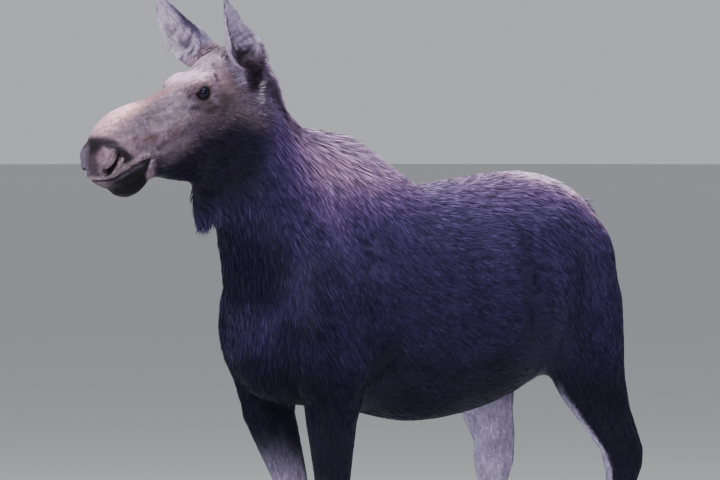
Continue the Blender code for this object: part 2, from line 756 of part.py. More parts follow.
def move_to_bottom_centre(parts):
    corners = np.concatenate([[obj.matrix_world @ Vector(c) for c in obj.bound_box] for obj in parts])
    low, high = corners.min(axis=0), corners.max(axis=0)
    shift = Vector((-(low[0] + high[0]) / 2, -(low[1] + high[1]) / 2, -low[2]))
    for obj in parts:
        obj.data.transform(Matrix.Translation(shift))


def main():
    for obj in list(bpy.data.objects):
        bpy.data.objects.remove(obj)
    scene = bpy.context.scene.collection
    moose = bpy.data.collections.new("moose")
    helpers = bpy.data.collections.new("cutters")
    scene.children.link(moose)
    scene.children.link(helpers)
    helpers.hide_render = True

    body = whole_body()
    tools = [ear_form(side) for side in EARS]
    for ear in tools:
        combine(body, ear, "UNION")
    for name, cutters in (("seams", first_cutters()), ("cross_seams", second_cutters())):
        cutter = joined(name, cutters)
        combine(body, cutter, "DIFFERENCE")
        tools.append(cutter)
    parts = parted(body)
    parts += [eye(side) for side in EARS]
    for leg in LEGS:
        for which in ("outer", "inner"):
            parts += [claw(leg, which), dewclaw(leg, which)]
    move_to_bottom_centre(parts)
    for obj in parts:
        dress(obj)
        scene.objects.unlink(obj)
        moose.objects.link(obj)
    for obj in tools:
        obj.hide_render = True
        obj.display_type = "WIRE"
        scene.objects.unlink(obj)
        helpers.objects.link(obj)


main()
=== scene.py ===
"""Looks of the standing cow moose: one skin, a coat of tufts, eyes, claws, a studio and a camera.

Metres. She faces -Y, her left is +X and the floor is z = 0. Two more frames are used: the body's, with its
origin on the floor under the line between the elbows, and the head's, (left, forward, up) from the poll.
The CAD model's eyes and left forefoot place them.
"""

import math

import bmesh
import bpy
import numpy as np
from mathutils import Matrix, Vector


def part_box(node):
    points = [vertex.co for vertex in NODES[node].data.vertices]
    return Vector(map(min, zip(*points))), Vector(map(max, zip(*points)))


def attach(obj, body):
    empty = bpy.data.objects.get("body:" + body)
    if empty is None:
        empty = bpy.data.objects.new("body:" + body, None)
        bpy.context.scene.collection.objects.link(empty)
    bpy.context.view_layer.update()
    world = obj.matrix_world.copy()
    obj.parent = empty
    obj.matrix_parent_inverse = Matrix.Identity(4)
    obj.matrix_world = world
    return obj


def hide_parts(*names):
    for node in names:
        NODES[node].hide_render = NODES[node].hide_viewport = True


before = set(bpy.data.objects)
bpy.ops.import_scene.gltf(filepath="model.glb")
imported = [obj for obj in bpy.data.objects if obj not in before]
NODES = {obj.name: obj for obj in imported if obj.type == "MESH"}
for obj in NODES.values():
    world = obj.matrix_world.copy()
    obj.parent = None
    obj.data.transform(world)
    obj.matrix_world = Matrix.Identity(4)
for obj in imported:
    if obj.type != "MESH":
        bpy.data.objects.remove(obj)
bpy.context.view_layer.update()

SIDES = {"left": 1, "right": -1}

# ---- Arrays ----


def rise(value, low, high):
    """From 0 at low to 1 at high, smoothly."""
    share = np.clip((value - low) / (np.asarray(high) - low), 0, 1)
    return share * share * (3 - 2 * share)


def fall(value, low, high):
    return 1 - rise(value, low, high)


def mix(first, second, share):
    """The rows of first, changed towards second, one row or many, by a share for each row."""
    share = share[:, None]
    return first * (1 - share) + np.asarray(second, float) * share


def layered(rows, *layers):
    """Rows with others, or with one row, mixed over them in turn, each by its shares."""
    for others, share in layers:
        rows = mix(rows, others, share)
    return rows


def thousandths(table):
    """A table's rows from thousandths, the first value of each as a line of points."""
    for line, *others in table:
        yield np.reshape(line, (-1, 2)) / 1000, *(np.array(value) / 1000 for value in others)


def columns(*values):
    return np.stack(values, axis=1)


def unit(rows):
    return rows / np.maximum(np.linalg.norm(rows, axis=-1, keepdims=True), 1e-12)


def line_distance(points, line):
    """Each point's distance from a line of points, and the share of the line passed where it is nearest."""
    line = np.array(line, float)
    best = np.full(len(points), np.inf)
    passed = np.zeros(len(points))
    for i, (a, b) in enumerate(zip(line, line[1:])):
        run = b - a
        share = np.clip((points - a) @ run / (run @ run), 0, 1)
        distance = np.linalg.norm(points - a - share[:, None] * run, axis=1)
        near = distance < best
        best[near] = distance[near]
        passed[near] = (i + share[near]) / (len(line) - 1)
    return best, passed


def ripple(points, size, seed, waves=10):
    """A smooth random field about as coarse as a size, from -1 to 1."""
    rng = np.random.default_rng(seed)
    total = np.zeros(len(points))
    for _ in range(waves):
        way = unit(rng.normal(size=3)) * 2 * math.pi / (size * rng.uniform(0.7, 1.6))
        total += np.sin(points @ way + rng.uniform(0, 2 * math.pi))
    return np.clip(total / math.sqrt(waves), -2, 2) / 2


# ---- Landmarks ----


def middle(node):
    low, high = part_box(node)
    return np.array((low + high) / 2)


HEAD_PITCH = math.radians(29)
EYES_FROM_POLL = np.array((0.0, 0.224, 0.017))
HEAD_AXES = np.array(
    (
        (1, 0, 0),
        (0, -math.cos(HEAD_PITCH), -math.sin(HEAD_PITCH)),
        (0, -math.sin(HEAD_PITCH), math.cos(HEAD_PITCH)),
    )
)
POLL = (middle("left_eye") + middle("right_eye")) / 2 - EYES_FROM_POLL @ HEAD_AXES
BODY_ORIGIN = np.array((0.0, middle("left_fore_outer_claw")[1] + 0.036, 0.0))
EYE_RADIUS = (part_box("left_eye")[1].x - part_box("left_eye")[0].x) / 2
EYE_PLACE = (middle("left_eye") - POLL) @ HEAD_AXES.T

# In the head's frame: each ear's root, the way it points, the way it opens and half its width at the root.
EARS = {
    "left": ((0.088, 0.046, -0.035), unit((0.054, 0.02, 0.284)), unit((1.0, -0.42, -0.22)), 0.042),
    "right": ((-0.078, 0.04, 0.0), unit((-0.142, 0.0, 0.27)), unit((0.5, 0.82, 0.3)), 0.062),
}
EAR_LENGTH = 0.294
EAR_HALF_WIDTH = 0.064

# In the head's frame, seen from the side: (forward, up).
NOSTRIL = ((0.58, 0.008), (0.606, -0.013), (0.63, -0.0255), (0.652, -0.0285), (0.663, -0.024))
MOUTH = (
    (0.466, -0.073), (0.502, -0.061), (0.544, -0.054), (0.6, -0.053),
    (0.645, -0.055), (0.69, -0.075), (0.76, -0.11),
)
# In the body's frame.
BELL = ((-0.03, -0.331, 1.585), (-0.03, -0.336, 1.52), (-0.03, -0.334, 1.454))
GAZE = np.array((1.0, 0.22, 0.06))


class Place:
    """Points on the skin in each frame, with how far each belongs to each part of the body."""

    def __init__(self, points, normals):
        self.points = points
        self.normals = normals
        self.body = points - BODY_ORIGIN
        self.head = (points - POLL) @ HEAD_AXES.T
        self.head_normals = normals @ HEAD_AXES.T
        x, y, z = self.body.T
        _, forward, up = self.head.T
        self.on_ear, self.in_ear, self.up_ear, self.over_ear = np.zeros((4, len(points)))
        for root, way, opening, narrow in EARS.values():
            across = unit(np.cross(way, opening))
            offset = self.head - root
            along = offset @ way
            aside = np.linalg.norm(offset - along[:, None] * way, axis=1)
            reach = np.clip(narrow + 0.5 * (along - 0.05), narrow, 0.088)
            ear = rise(along, 0.05, 0.085) * fall(aside - reach, 0, 0.012)
            self.on_ear = np.maximum(self.on_ear, ear)
            self.up_ear = np.where(ear > 0, along / EAR_LENGTH, self.up_ear)
            self.over_ear = np.where(ear > 0, offset @ across / EAR_HALF_WIDTH, self.over_ear)
            inner = rise(self.head_normals @ opening, -0.1, 0.25)
            self.in_ear = np.maximum(self.in_ear, ear * inner)
        throat = -0.15 - 0.14 * rise(forward, 0.05, 0.25)
        self.on_head = rise(forward, -0.06, 0.06) * rise(up - throat, -0.08, 0.03) * (1 - self.on_ear)
        fore = fall(y, 0.16, 0.26)
        hind = rise(y, 0.68, 0.78)
        self.on_leg = fall(z, 0.8, 1.0) * np.maximum(fore, hind)
        self.on_hind = hind
        self.on_bell = fall(line_distance(self.body, BELL)[0], 0.045, 0.06)
        self.on_tail = rise(y, 1.145, 1.165) * rise(z, 1.34, 1.36) * fall(abs(x), 0.035, 0.055)
        self.on_neck = rise(-y, -0.02, 0.16) * rise(z, 1.2, 1.4) * (1 - self.on_head) * (1 - self.on_ear)

    def eye_distance(self):
        """Distance from the middle of the nearer eye."""
        left, forward, up = self.head.T
        return np.linalg.norm(columns(abs(left), forward, up) - EYE_PLACE, axis=1)

    def side_line(self, line):
        """Distance from a line on the side of the head, and the share of it passed."""
        return line_distance(self.head[:, 1:], line)

    def body_line(self, line):
        """Distance from a line on the side of the body."""
        return line_distance(self.body[:, 1:], line)[0]


# ---- The coat: its lie, length, width, stand and depth ----


def lie(place):
    """The way the hair points, along the skin."""
    x, y, z = place.body.T
    left, forward, up = place.head.T
    top = rise(place.normals[:, 2], 0.35, 0.85)
    way = layered(
        np.tile((0.0, 0.86, -0.42), (len(x), 1)),
        ((0, 0.97, -0.2), top),
        ((0, 0.42, -0.9), fall(y, 0.1, 0.34) * (1 - top)),
        ((0, 0.38, -0.92), rise(y, 0.74, 0.98) * fall(z, 1.5, 1.6)),
        ((0, 0.95, -0.15), fall(z, 0.94, 1.06) * rise(y, 0.15, 0.3) * fall(y, 0.68, 0.8)),
        ((0, 0.55, -0.85), place.on_neck),
        ((0, 0.1, -1.0), fall(y, -0.16, -0.06) * fall(z, 1.35, 1.55)),
        ((0, 0.1, -1.0), place.on_leg),
        ((0, -0.05, -1.0), place.on_bell),
        ((0, 0.25, -1.0), place.on_tail),
    )
    face = np.tile((0.0, -1.0, -0.1), (len(x), 1))
    face = mix(face, (0, -0.75, -0.66), rise(-up, 0.02, 0.12) * fall(forward, 0.36, 0.48))
    face[:, 0] += 0.35 * np.sign(left) * rise(up, 0.03, 0.07) * fall(forward, 0.3, 0.45)
    way = mix(way, face @ HEAD_AXES, place.on_head)
    for root, towards, opening, _ in EARS.values():
        inwards = -np.cross(towards, opening) * np.sign(place.over_ear)[:, None]
        inwards = inwards * (place.in_ear * rise(abs(place.over_ear), 0.15, 0.8))[:, None]
        near = place.on_ear * (np.sign(left) == np.sign(root[0]))
        way = mix(way, (towards + 0.9 * inwards) @ HEAD_AXES, near)
    swirl = 0.3 * ripple(place.points, 0.35, 5) + 0.16 * ripple(place.points, 0.09, 6)
    way = way + np.cross(place.normals, way) * swirl[:, None]
    return unit(way - (way * place.normals).sum(axis=1)[:, None] * place.normals)


# Each row: hair length, tuft width, stand of the tips in degrees, depth of the coat, cover, as layers of
# hair over the skin.
COAT = {
    "trunk": (0.028, 0.0019, 7.0, 0.0025, 2.2),
    "back": (0.036, 0.0021, 10.0, 0.006, 2.4),
    "hump": (0.056, 0.0024, 14.0, 0.01, 2.6),
    "neck": (0.038, 0.0021, 9.0, 0.006, 2.3),
    "chest": (0.036, 0.002, 9.0, 0.0015, 2.3),
    "leg": (0.018, 0.0019, 6.0, 0.002, 1.4),
    "shank": (0.013, 0.0016, 6.0, 0.0015, 1.2),
    "face": (0.009, 0.0011, 6.0, 0.002, 0.9),
    "muzzle": (0.005, 0.0008, 8.0, 0.0012, 0.5),
    "crown": (0.02, 0.0014, 14.0, 0.002, 1.9),
    "jowl": (0.022, 0.0019, 9.0, 0.004, 1.8),
    "ear": (0.01, 0.0011, 4.0, 0.001, 1.2),
    "inner ear": (0.02, 0.0012, 8.0, 0.0008, 1.1),
    "bell": (0.044, 0.0026, 6.0, 0.006, 2.6),
    "tail": (0.036, 0.0025, 7.0, 0.006, 2.4),
}


def coat(place):
    """The rows of COAT for every place, blended where parts of the body meet."""
    x, y, z = place.body.T
    _, forward, up = place.head.T
    jowl = rise(jowl_line(forward) - up, -0.02, 0.05) * fall(forward, 0.4, 0.46)
    shares = {
        "back": rise(place.normals[:, 2], 0.25, 0.8) * rise(z, 1.35, 1.5),
        "chest": fall(y, -0.08, 0.06) * fall(z, 1.3, 1.45),
        "neck": place.on_neck,
        "hump": rise(z, 1.56, 1.68) * fall(y, 0.22, 0.38) * rise(y, -0.2, -0.06),
        "leg": place.on_leg,
        "shank": fall(z, 0.5, 0.66),
        "face": place.on_head,
        "crown": place.on_head * fall(forward, 0.05, 0.16),
        "jowl": place.on_head * jowl,
        "muzzle": place.on_head * rise(forward, 0.47, 0.54),
        "ear": place.on_ear,
        "inner ear": place.in_ear,
        "bell": place.on_bell,
        "tail": place.on_tail,
    }
    layers = ((COAT[part], share) for part, share in shares.items())
    return layered(np.tile(COAT["trunk"], (len(x), 1)), *layers)


# In the head's frame, (forward, up): how high the dark of the jaw and throat reaches.
JOWL_LINE = (
    (0.0, -0.175), (0.08, -0.132), (0.117, -0.09), (0.172, -0.044), (0.222, -0.038),
    (0.274, -0.052), (0.338, -0.088), (0.406, -0.1), (0.46, -0.085),
)


def jowl_line(forward):
    return np.interp(forward, *np.array(JOWL_LINE).T)


# ---- Markings, with painted sheen, highlights and shade ----


def tone(brightness):
    """The coat's colour at a brightness: blue-black in the dark, where the blue is painted skylight
    reflection, and mauve and brown where it is grizzled.
    """
    steps = np.log((0.004, 0.01, 0.02, 0.04, 0.08, 0.15, 0.3))
    level = np.log(np.maximum(brightness, 0.001))
    red = np.interp(level, steps, (1.26, 1.36, 1.48, 1.64, 1.74, 1.62, 1.46))
    # The blue, strongest in the dark, is painted skylight reflection.
    blue = np.interp(level, steps, (3.6, 3.6, 3.5, 3.1, 2.25, 1.8, 1.5))
    return brightness[:, None] * columns(red, np.ones(len(red)), blue)


# How bright the coat is at each height: on the trunk and hump, and on the neck.
TRUNK_TONE = (
    (1.0, 0.0098), (1.13, 0.012), (1.2, 0.014), (1.28, 0.0156), (1.36, 0.0175),
    (1.436, 0.0205), (1.472, 0.025), (1.509, 0.032), (1.546, 0.05), (1.583, 0.08),
    (1.62, 0.135), (1.66, 0.16), (1.74, 0.165),
)
NECK_TONE = (
    (1.36, 0.0085), (1.45, 0.013), (1.55, 0.0155), (1.64, 0.018),
    (1.73, 0.024), (1.79, 0.041), (1.86, 0.062), (1.95, 0.08),
)
LEG_TONE = 0.0052
# Painted sheen and painted shade on the body: lighter streaks of painted sheen, darker bands of painted
# shade in the folds and under the chest, and painted rim light along the top of the croup.
# Each row, in millimetres and thousandths: a line (back, up, back, up ...), its reach, and how bright the
# coat is along it against the coat around.
PAINTED_SHEEN_AND_SHADE = (
    ((560, 1460, 570, 1220), 80, 1220),
    # Painted shade in the fold before the thigh.
    ((675, 1420, 690, 1120), 40, 600),
    # Painted sheen on the chest.
    ((-120, 1440, -150, 1220), 55, 1750),
    ((70, 1420, 80, 1120), 45, 750),
    ((800, 1360, 830, 1100), 60, 1250),
    ((900, 1360, 920, 1100), 35, 750),
    ((160, 1050, 400, 1000, 600, 1040), 50, 650),
    # Painted rim light along the top of the croup.
    ((800, 1655, 950, 1600, 1030, 1545, 1100, 1470), 92, 5600),
    # Painted shade under the chest, about the elbows.
    ((-150, 1000, 0, 950, 120, 970, 160, 1100), 70, 500),
    ((360, 1620, 520, 1560), 70, 850),
    ((980, 1420, 1040, 1120), 110, 1220),
    ((-20, 1500, 60, 1340), 80, 1450),
)
DARK = (0.0085, 0.0058, 0.019)
BELL_TIP = (0.036, 0.03, 0.09)
UPPER_THROAT = (0.072, 0.054, 0.105)
CROWN = (0.165, 0.118, 0.145)
FACE = (0.2, 0.135, 0.18)
CHIN = (0.007, 0.006, 0.009)
LIP = (0.075, 0.055, 0.085)
LIP_CREASE_SHADE = (0.012, 0.008, 0.012)
EYE_RING = (0.09, 0.048, 0.052)
LID_RIM = (0.006, 0.005, 0.008)
PAD = (0.01, 0.006, 0.011)
NOSE_FRONT = (0.06, 0.038, 0.054)
# Painted sheen on the far side of the nose's front.
NOSE_FAR_SIDE_SHEEN = (0.185, 0.15, 0.225)
NOSTRIL_SHADE = (0.007, 0.004, 0.005)
SHANK = (0.4, 0.335, 0.52)
LOW_SHANK = (0.235, 0.19, 0.25)
EAR_BACK = (0.21, 0.165, 0.24)
EAR_ROOT = (0.11, 0.078, 0.112)
EAR_RIM = (0.62, 0.54, 0.64)
EAR_PALE = (0.74, 0.6, 0.84)
EAR_INSIDE = (0.38, 0.315, 0.53)
EAR_SHADE = (0.065, 0.052, 0.095)
EAR_FOLD_SHADOW = (0.022, 0.016, 0.028)
EAR_HOLLOW_SHADE = (0.016, 0.01, 0.018)
# Marks on the face. Each row, in millimetres and thousandths: a line (forward, up, forward, up ...) on the
# side of the head, its reach, the colour and how much of it there is. Later rows lie over earlier ones.
# Some rows are painted light: shade in the lids' creases and behind the nostrils, highlights on the brow,
# the cheek, the rims of the nostrils and the upper lip, and in part the pale top of the nose.
FACE_MARKS_AND_PAINTED_LIGHT = (
    ((130, 66, 180, 70), 50, (440, 300, 410), 850),
    # Paler hair along the top of the nose, with a painted highlight where it faces the light.
    ((200, 80, 300, 106, 450, 112, 600, 90), 40, (820, 460, 540), 970),
    ((290, 70, 370, 76, 500, 80), 14, (360, 170, 160), 450),
    ((500, 25, 600, 50), 55, (300, 200, 250), 800),
    # Painted highlight along the ridge of the cheek.
    ((300, 35, 340, 20, 400, -15), 32, (250, 175, 240), 700),
    ((310, -60, 420, -75, 480, -40), 45, (110, 75, 115), 750),
    ((445, 42, 475, 38), 32, (130, 95, 145), 650),
    ((425, -22, 465, -4), 14, (80, 40, 42), 700),
    ((360, -30, 385, -45), 14, (130, 70, 75), 500),
    ((412, -48, 430, -50), 11, (45, 28, 42), 650),
    ((497, 16, 500, -12), 12, (55, 36, 55), 550),
    ((150, -54, 170, -36), 26, (85, 44, 52), 600),
    ((135, 24, 132, -12), 24, (280, 185, 215), 650),
    ((84, 18, 88, -16), 22, (310, 245, 375), 850),
    ((160, 44, 157, 30), 8, (70, 30, 32), 750),
    ((128, 60, 136, 52), 7, (80, 48, 55), 600),
    ((262, 4, 287, -2), 24, (140, 105, 165), 650),
    ((250, -16, 225, -28), 20, (100, 66, 85), 850),
    ((277, -10, 264, -20), 9, (30, 16, 22), 750),
    # Painted shade in the crease under the lower lid.
    ((232, -44, 205, -40), 11, (40, 18, 18), 700),
    # Painted shade in the crease over the upper lid.
    ((247, 25, 262, 26, 271, 18, 277, 4), 4.2, (40, 27, 42), 450),
    ((280, 4, 281, 1), 4.8, (340, 280, 360), 600),
    ((568, -8, 580, 18, 587, 45, 602, 63, 624, 74, 652, 72), 24, (10, 6, 11), 930),
    ((655, 74, 675, 45), 26, (10, 6, 11), 700),
    # Painted shadow behind the wing of the nostril, here and in the next row.
    ((566, -14, 552, -30), 21, (6, 4, 7), 920),
    ((582, 36, 570, 8, 562, -12), 17, (20, 13, 19), 900),
    ((612, 28, 642, 14), 20, (300, 195, 245), 900),
    # Painted highlight along the raised rim of the nostril.
    ((580, -12, 600, -26, 624, -40, 640, -42), 7, (360, 265, 300), 800),
    ((655, -38, 682, -30), 16, (110, 78, 115), 750),
    # Painted highlight along the edge of the upper lip.
    ((485, -50, 515, -45, 560, -41, 605, -46), 9.5, (320, 230, 280), 700),
    ((446, -80, 458, -115), 15, (50, 34, 52), 850),
    ((22, 0, 30, -62), 22, (13, 9, 17), 900),
    ((450, -88, 400, -90), 16, (45, 30, 45), 600),
    ((468, -67, 484, -90), 5.5, (300, 230, 340), 650),
    # Painted highlight on the brow's ridge.
    ((190, 85, 250, 97), 34, (800, 580, 880), 750),
    ((80, 48, 69, 22), 5.5, (700, 600, 720), 900),
    ((175, -10, 165, -45, 195, -62), 20, (72, 46, 64), 650),
)
# The folded front edge of the left ear, along which its shadow is painted: (share of the length, half
# widths from the middle).
EAR_EDGE = ((0.3, 1.2), (0.45, 1.18), (0.57, 1.15), (0.7, 1.03), (0.85, 0.75), (1.0, 0.3))
# In the head's frame: the line of painted shade in the hollow under the opening of the left ear.
EAR_BASE_SHADE = (
    (0.17, 0.108, 0.06), (0.178, 0.08, 0.04), (0.15, 0.072, 0.012),
    (0.12, 0.062, -0.02), (0.1, 0.056, -0.048),
)
# In the body's frame, (back, up): the dark of the nape and the pale locks behind the left ear.
NAPE_STRIPE = ((-0.175, 1.91), (-0.13, 1.84), (-0.085, 1.77))
EAR_LOCKS = ((-0.15, 1.932), (-0.18, 1.91), (-0.2, 1.886), (-0.204, 1.836))
# The back edge of the black chin, as (down, forward) on the head.
CHIN_EDGE = ((0.058, 0.455), (0.066, 0.468), (0.082, 0.49), (0.102, 0.505), (0.15, 0.515))


def body_colour(place):
    x, y, z = place.body.T
    coarse, fine = ripple(place.points, 0.24, 21), ripple(place.points, 0.06, 22)
    height = z - 0.016 * coarse
    brightness = np.interp(height, *np.array(TRUNK_TONE).T)
    neck = np.interp(z + 0.03 * coarse, *np.array(NECK_TONE).T)
    nape = rise(place.normals[:, 2] + 0.6 * place.normals[:, 1], 0.35, 0.8)
    neck = neck + 0.018 * nape * fall(z, 1.88, 1.94)
    stripe = nape * fall(abs(x), 0.018, 0.04)
    neck = neck * (1 - 0.85 * stripe)
    behind = rise(y, -0.23, 0.02)
    brightness = brightness**behind * neck ** (1 - behind)
    front = fall(y, -0.13, -0.04) * fall(z, 1.36, 1.5) * fall(abs(x), 0.09, 0.17)
    sheen = rise(z, 1.05, 1.12) * fall(z, 1.18, 1.28)
    brightness = brightness * (1 - front) + (0.007 + 0.011 * sheen) * front
    # Painted sheen and painted shade along the lines of the body.
    for line, reach, factor in thousandths(PAINTED_SHEEN_AND_SHADE):
        share = fall(place.body_line(line), 0, reach)
        brightness = brightness * factor**share
    legs = fall(z, 0.88, 1.1)
    brightness = brightness * (1 - legs) + LEG_TONE * legs
    colour = tone(brightness * np.exp(0.12 * coarse + 0.1 * fine))
    colour = mix(colour, BELL_TIP, place.on_bell)
    inside = -np.sign(x) * place.normals[:, 0] - 0.95 * place.normals[:, 1]
    pale = place.on_hind * rise(inside, 0.0, 0.5) * fall(z + 0.03 * coarse, 0.84, 0.96)
    fore = rise(z + 0.04 * coarse, 0.46, 0.6) * (x > 0) + rise(z + 0.04 * coarse, 0.64, 0.78) * (x <= 0)
    fore = (1 - place.on_hind) * rise(inside, 0.0, 0.5) * (1 - fore)
    pale = np.maximum(pale, 0.7 * fore)
    low = fall(z + 0.05 * coarse - 0.06 * rise(inside, -0.3, 0.4), 0.42, 0.61)
    pale = np.maximum(pale, low)
    shank = mix(np.tile(SHANK, (len(z), 1)), LOW_SHANK, fall(z, 0.46, 0.68))
    shank = shank * (1 + 0.22 * coarse + 0.25 * fine)[:, None]
    return mix(colour, shank, pale)


def face_colour(place):
    left, forward, up = place.head.T
    coarse, fine = ripple(place.points, 0.1, 23), ripple(place.points, 0.022, 24)
    lobe = place.head[:, 1:] + 0.006 * columns(fine, coarse)
    face = layered(
        np.tile(FACE, (len(left), 1)),
        (UPPER_THROAT, fall(forward, 0.04, 0.16) * fall(up, 0.02, 0.06)),
        (CROWN, fall(forward, 0.08, 0.15) * rise(up, 0.0, 0.03)),
    )
    for line, reach, colour, share in thousandths(FACE_MARKS_AND_PAINTED_LIGHT):
        distance, _ = line_distance(lobe, line)
        face = mix(face, colour, share * fall(distance, 0.35 * reach, 1.25 * reach))
    face = face * np.exp(0.24 * coarse + 0.34 * fine + 0.24 * ripple(place.points, 0.009, 27))[:, None]
    softness = 0.12 - 0.084 * rise(forward, 0.12, 0.42)
    jowl = rise((jowl_line(forward) - up + 0.014 * fine) / softness, -0.6, 1.0)
    height = up + 0.006 * fine
    tip = rise(forward, 0.59, 0.62) * fall(left + 0.005 * coarse, 0.014, 0.042)
    tip = tip * rise(left, -0.1, -0.075) * fall(height, 0.062, 0.086) * rise(up, -0.046, -0.026)
    pad = rise(forward, 0.585, 0.604) * rise(left, -0.026, -0.002) * fall(left, 0.03, 0.052)
    pad = pad * rise(height, 0.02, 0.038) * fall(height, 0.066, 0.086)
    lips = np.interp(forward, *np.array(MOUTH).T)
    chin = rise(lips - up, -0.001, 0.004) * rise(forward, 0.452, 0.47) * fall(forward, 0.618, 0.642)
    chin = chin * rise(forward - np.interp(-up, *np.array(CHIN_EDGE).T), -0.006, 0.004)
    strip = fall(abs(lips - 0.008 - up), 0.002, 0.006) * rise(forward, 0.49, 0.53)
    eye = place.eye_distance()
    return layered(
        face,
        (DARK, jowl * fall(forward, 0.452, 0.486)),
        (NOSE_FRONT, 0.92 * tip),
        # Painted sheen on the far side of the nose's front.
        (NOSE_FAR_SIDE_SHEEN, 0.85 * tip * fall(left, -0.048, -0.004)),
        (PAD, 0.95 * pad),
        (CHIN, chin),
        (LIP, 0.7 * strip * fall(forward, 0.6, 0.64)),
        # Painted shade in the groove between the lips.
        (LIP_CREASE_SHADE, fall(abs(lips - up), 0.001, 0.004) * rise(forward, 0.455, 0.47)),
        (EYE_RING, 0.45 * fall(eye, 0.029, 0.04)),
        (LID_RIM, 0.95 * fall(eye, 0.0225, 0.0272)),
    )


def ear_colour(place):
    streak = ripple(place.points * (1.0, 1.0, 2.2), 0.03, 25)
    across, along = place.over_ear, place.up_ear
    comb = along * EAR_LENGTH + 0.5 * across * EAR_HALF_WIDTH
    combed = columns(0.35 * across * EAR_HALF_WIDTH, comb, 0 * along)
    waves = rise(ripple(combed, 0.021, 28), 0.0, 0.34)
    near = place.head[:, 0] > 0
    fold = across - 0.1 * ripple(place.points, 0.045, 26)
    strip = np.where(near, 0.4, rise(fold, -0.14, 0.12) * (0.75 + 0.35 * streak))
    middle_length = rise(along, 0.22, 0.34) * fall(along, 0.62, 0.85)
    shade = fall(fold, -0.26, -0.02) * (0.3 + 0.6 * middle_length)
    shade = np.maximum(0.78 * waves * fall(along, 0.55, 0.85), shade)
    shade = np.where(near, 0.5 * waves, shade)
    # Painted shadow where the near ear's front margin folds over its inside.
    crease = np.where(near, rise(fold, 0.1, 0.26), 0.0) * rise(along, 0.12, 0.26)
    rim = rise(np.where(near, -across, abs(across)), 0.74, 0.96) * rise(along, 0.24, 0.4)
    # Painted shade deep in the hollow at the base of the ear's inside.
    hollow = along + 0.12 * abs(across) + 0.05 * streak
    hollow = fall(hollow, np.where(near, 0.31, 0.2), np.where(near, 0.46, 0.34))
    hollow = hollow * (1 - rise(across, 0.3, 0.7) * np.where(near, 0.2, 1.0))
    inside = layered(
        np.tile(EAR_INSIDE, (len(streak), 1)) * (1 + 0.35 * streak)[:, None],
        (EAR_PALE, strip),
        (EAR_SHADE, shade),
        (EAR_FOLD_SHADOW, 0.9 * crease),
        (EAR_RIM, rim),
        (EAR_HOLLOW_SHADE, hollow),
    )
    edge = 0.93 * np.interp(along, *np.array(EAR_EDGE).T)
    return layered(
        np.tile(EAR_BACK, (len(streak), 1)) * (1 + 0.25 * streak)[:, None],
        (EAR_PALE, 0.6 * rise(across, 0.2, 0.6)),
        (EAR_PALE, 0.85 * rise(-across, 0.2, 0.6) * near),
        (EAR_ROOT, fall(along, np.where(near, 0.1, 0.22), np.where(near, 0.24, 0.42))),
        (inside, place.in_ear),
        # Painted shadow along the folded front edge, on the near ear's outside.
        (EAR_FOLD_SHADOW, 0.9 * near * rise(across - edge, -0.01, 0.03) * rise(along, 0.25, 0.35)),
    )


def markings(place):
    """The colour of the coat at each place."""
    colour = mix(body_colour(place), face_colour(place), place.on_head)
    x = place.body[:, 0]
    nape = fall(place.body_line(NAPE_STRIPE), 0.01, 0.034) * fall(abs(x), 0.06, 0.09)
    colour = colour * (1 - 0.72 * nape)[:, None]
    locks = fall(place.body_line(EAR_LOCKS), 0.002, 0.011) * (x > 0) * (1 - nape)
    # Painted shade in the hollow under the opening of the near ear.
    base = fall(line_distance(place.head, EAR_BASE_SHADE)[0], 0.018, 0.034)
    ears = (ear_colour(place), place.on_ear)
    return layered(colour, ears, (EAR_HOLLOW_SHADE, 0.94 * base), (EAR_RIM, 0.45 * locks))


def clumps(place):
    """Hair lying together in clumps along its own way, lighter and darker, from -1 to 1."""
    x, y, z = place.body.T
    left, forward, up = place.head.T
    trunk = columns(x, 0.42 * y + 0.86 * z, 0.3 * (0.86 * y - 0.42 * z))
    upright = columns(x, y, 0.3 * z)
    head = columns(left, 0.35 * forward, up)
    steep = np.maximum(place.on_leg, place.on_neck)
    field = ripple(trunk, 0.011, 41, 16) * (1 - steep) + ripple(upright, 0.011, 42, 16) * steep
    return field * (1 - place.on_head) + ripple(head, 0.008, 43, 16) * place.on_head


def unevenness(place):
    """How much one tuft differs from the next in brightness."""
    _, y, z = place.body.T
    grizzled = rise(z, 1.36, 1.56) * rise(y, -0.24, -0.06)
    uneven = 0.4 + 0.26 * grizzled + 0.1 * place.on_neck
    uneven = uneven * (1 - place.on_head) + 0.5 * place.on_head
    return np.maximum(uneven, 0.42 * place.on_ear)


# ---- Meshes ----
GRADE_STEPS = 48  # of a vertex group's weights


def object_of(name, data):
    obj = bpy.data.objects.new(name, data)
    bpy.context.scene.collection.objects.link(obj)
    return obj


def applied(obj):
    graph = bpy.context.evaluated_depsgraph_get()
    data = bpy.data.meshes.new_from_object(obj.evaluated_get(graph))
    obj.modifiers.clear()
    old = obj.data
    obj.data = data
    data.name = obj.name
    bpy.data.meshes.remove(old)
    return obj


def object_from(name, mesh):
    """An object made from a bmesh, which is freed."""
    data = bpy.data.meshes.new(name)
    mesh.to_mesh(data)
    mesh.free()
    return object_of(name, data)


def remeshed(obj, size):
    obj.data.materials.clear()
    remesh = obj.modifiers.new("remesh", "REMESH")
    remesh.mode = "VOXEL"
    remesh.voxel_size = size
    applied(obj)


def relaxed(obj, iterations, shares=None):
    """Smooths a mesh, each vertex by its share where shares are given."""
    relax = obj.modifiers.new("relax", "SMOOTH")
    relax.factor = 0.5
    relax.iterations = iterations
    if shares is not None:
        relax.vertex_group = grade(obj, shares)
    applied(obj)
    obj.vertex_groups.clear()


def read(items, key, width, kind=np.float32):
    """One value of every item, as rows."""
    values = np.empty(len(items) * width, kind)
    items.foreach_get(key, values)
    return values.reshape(-1, width)


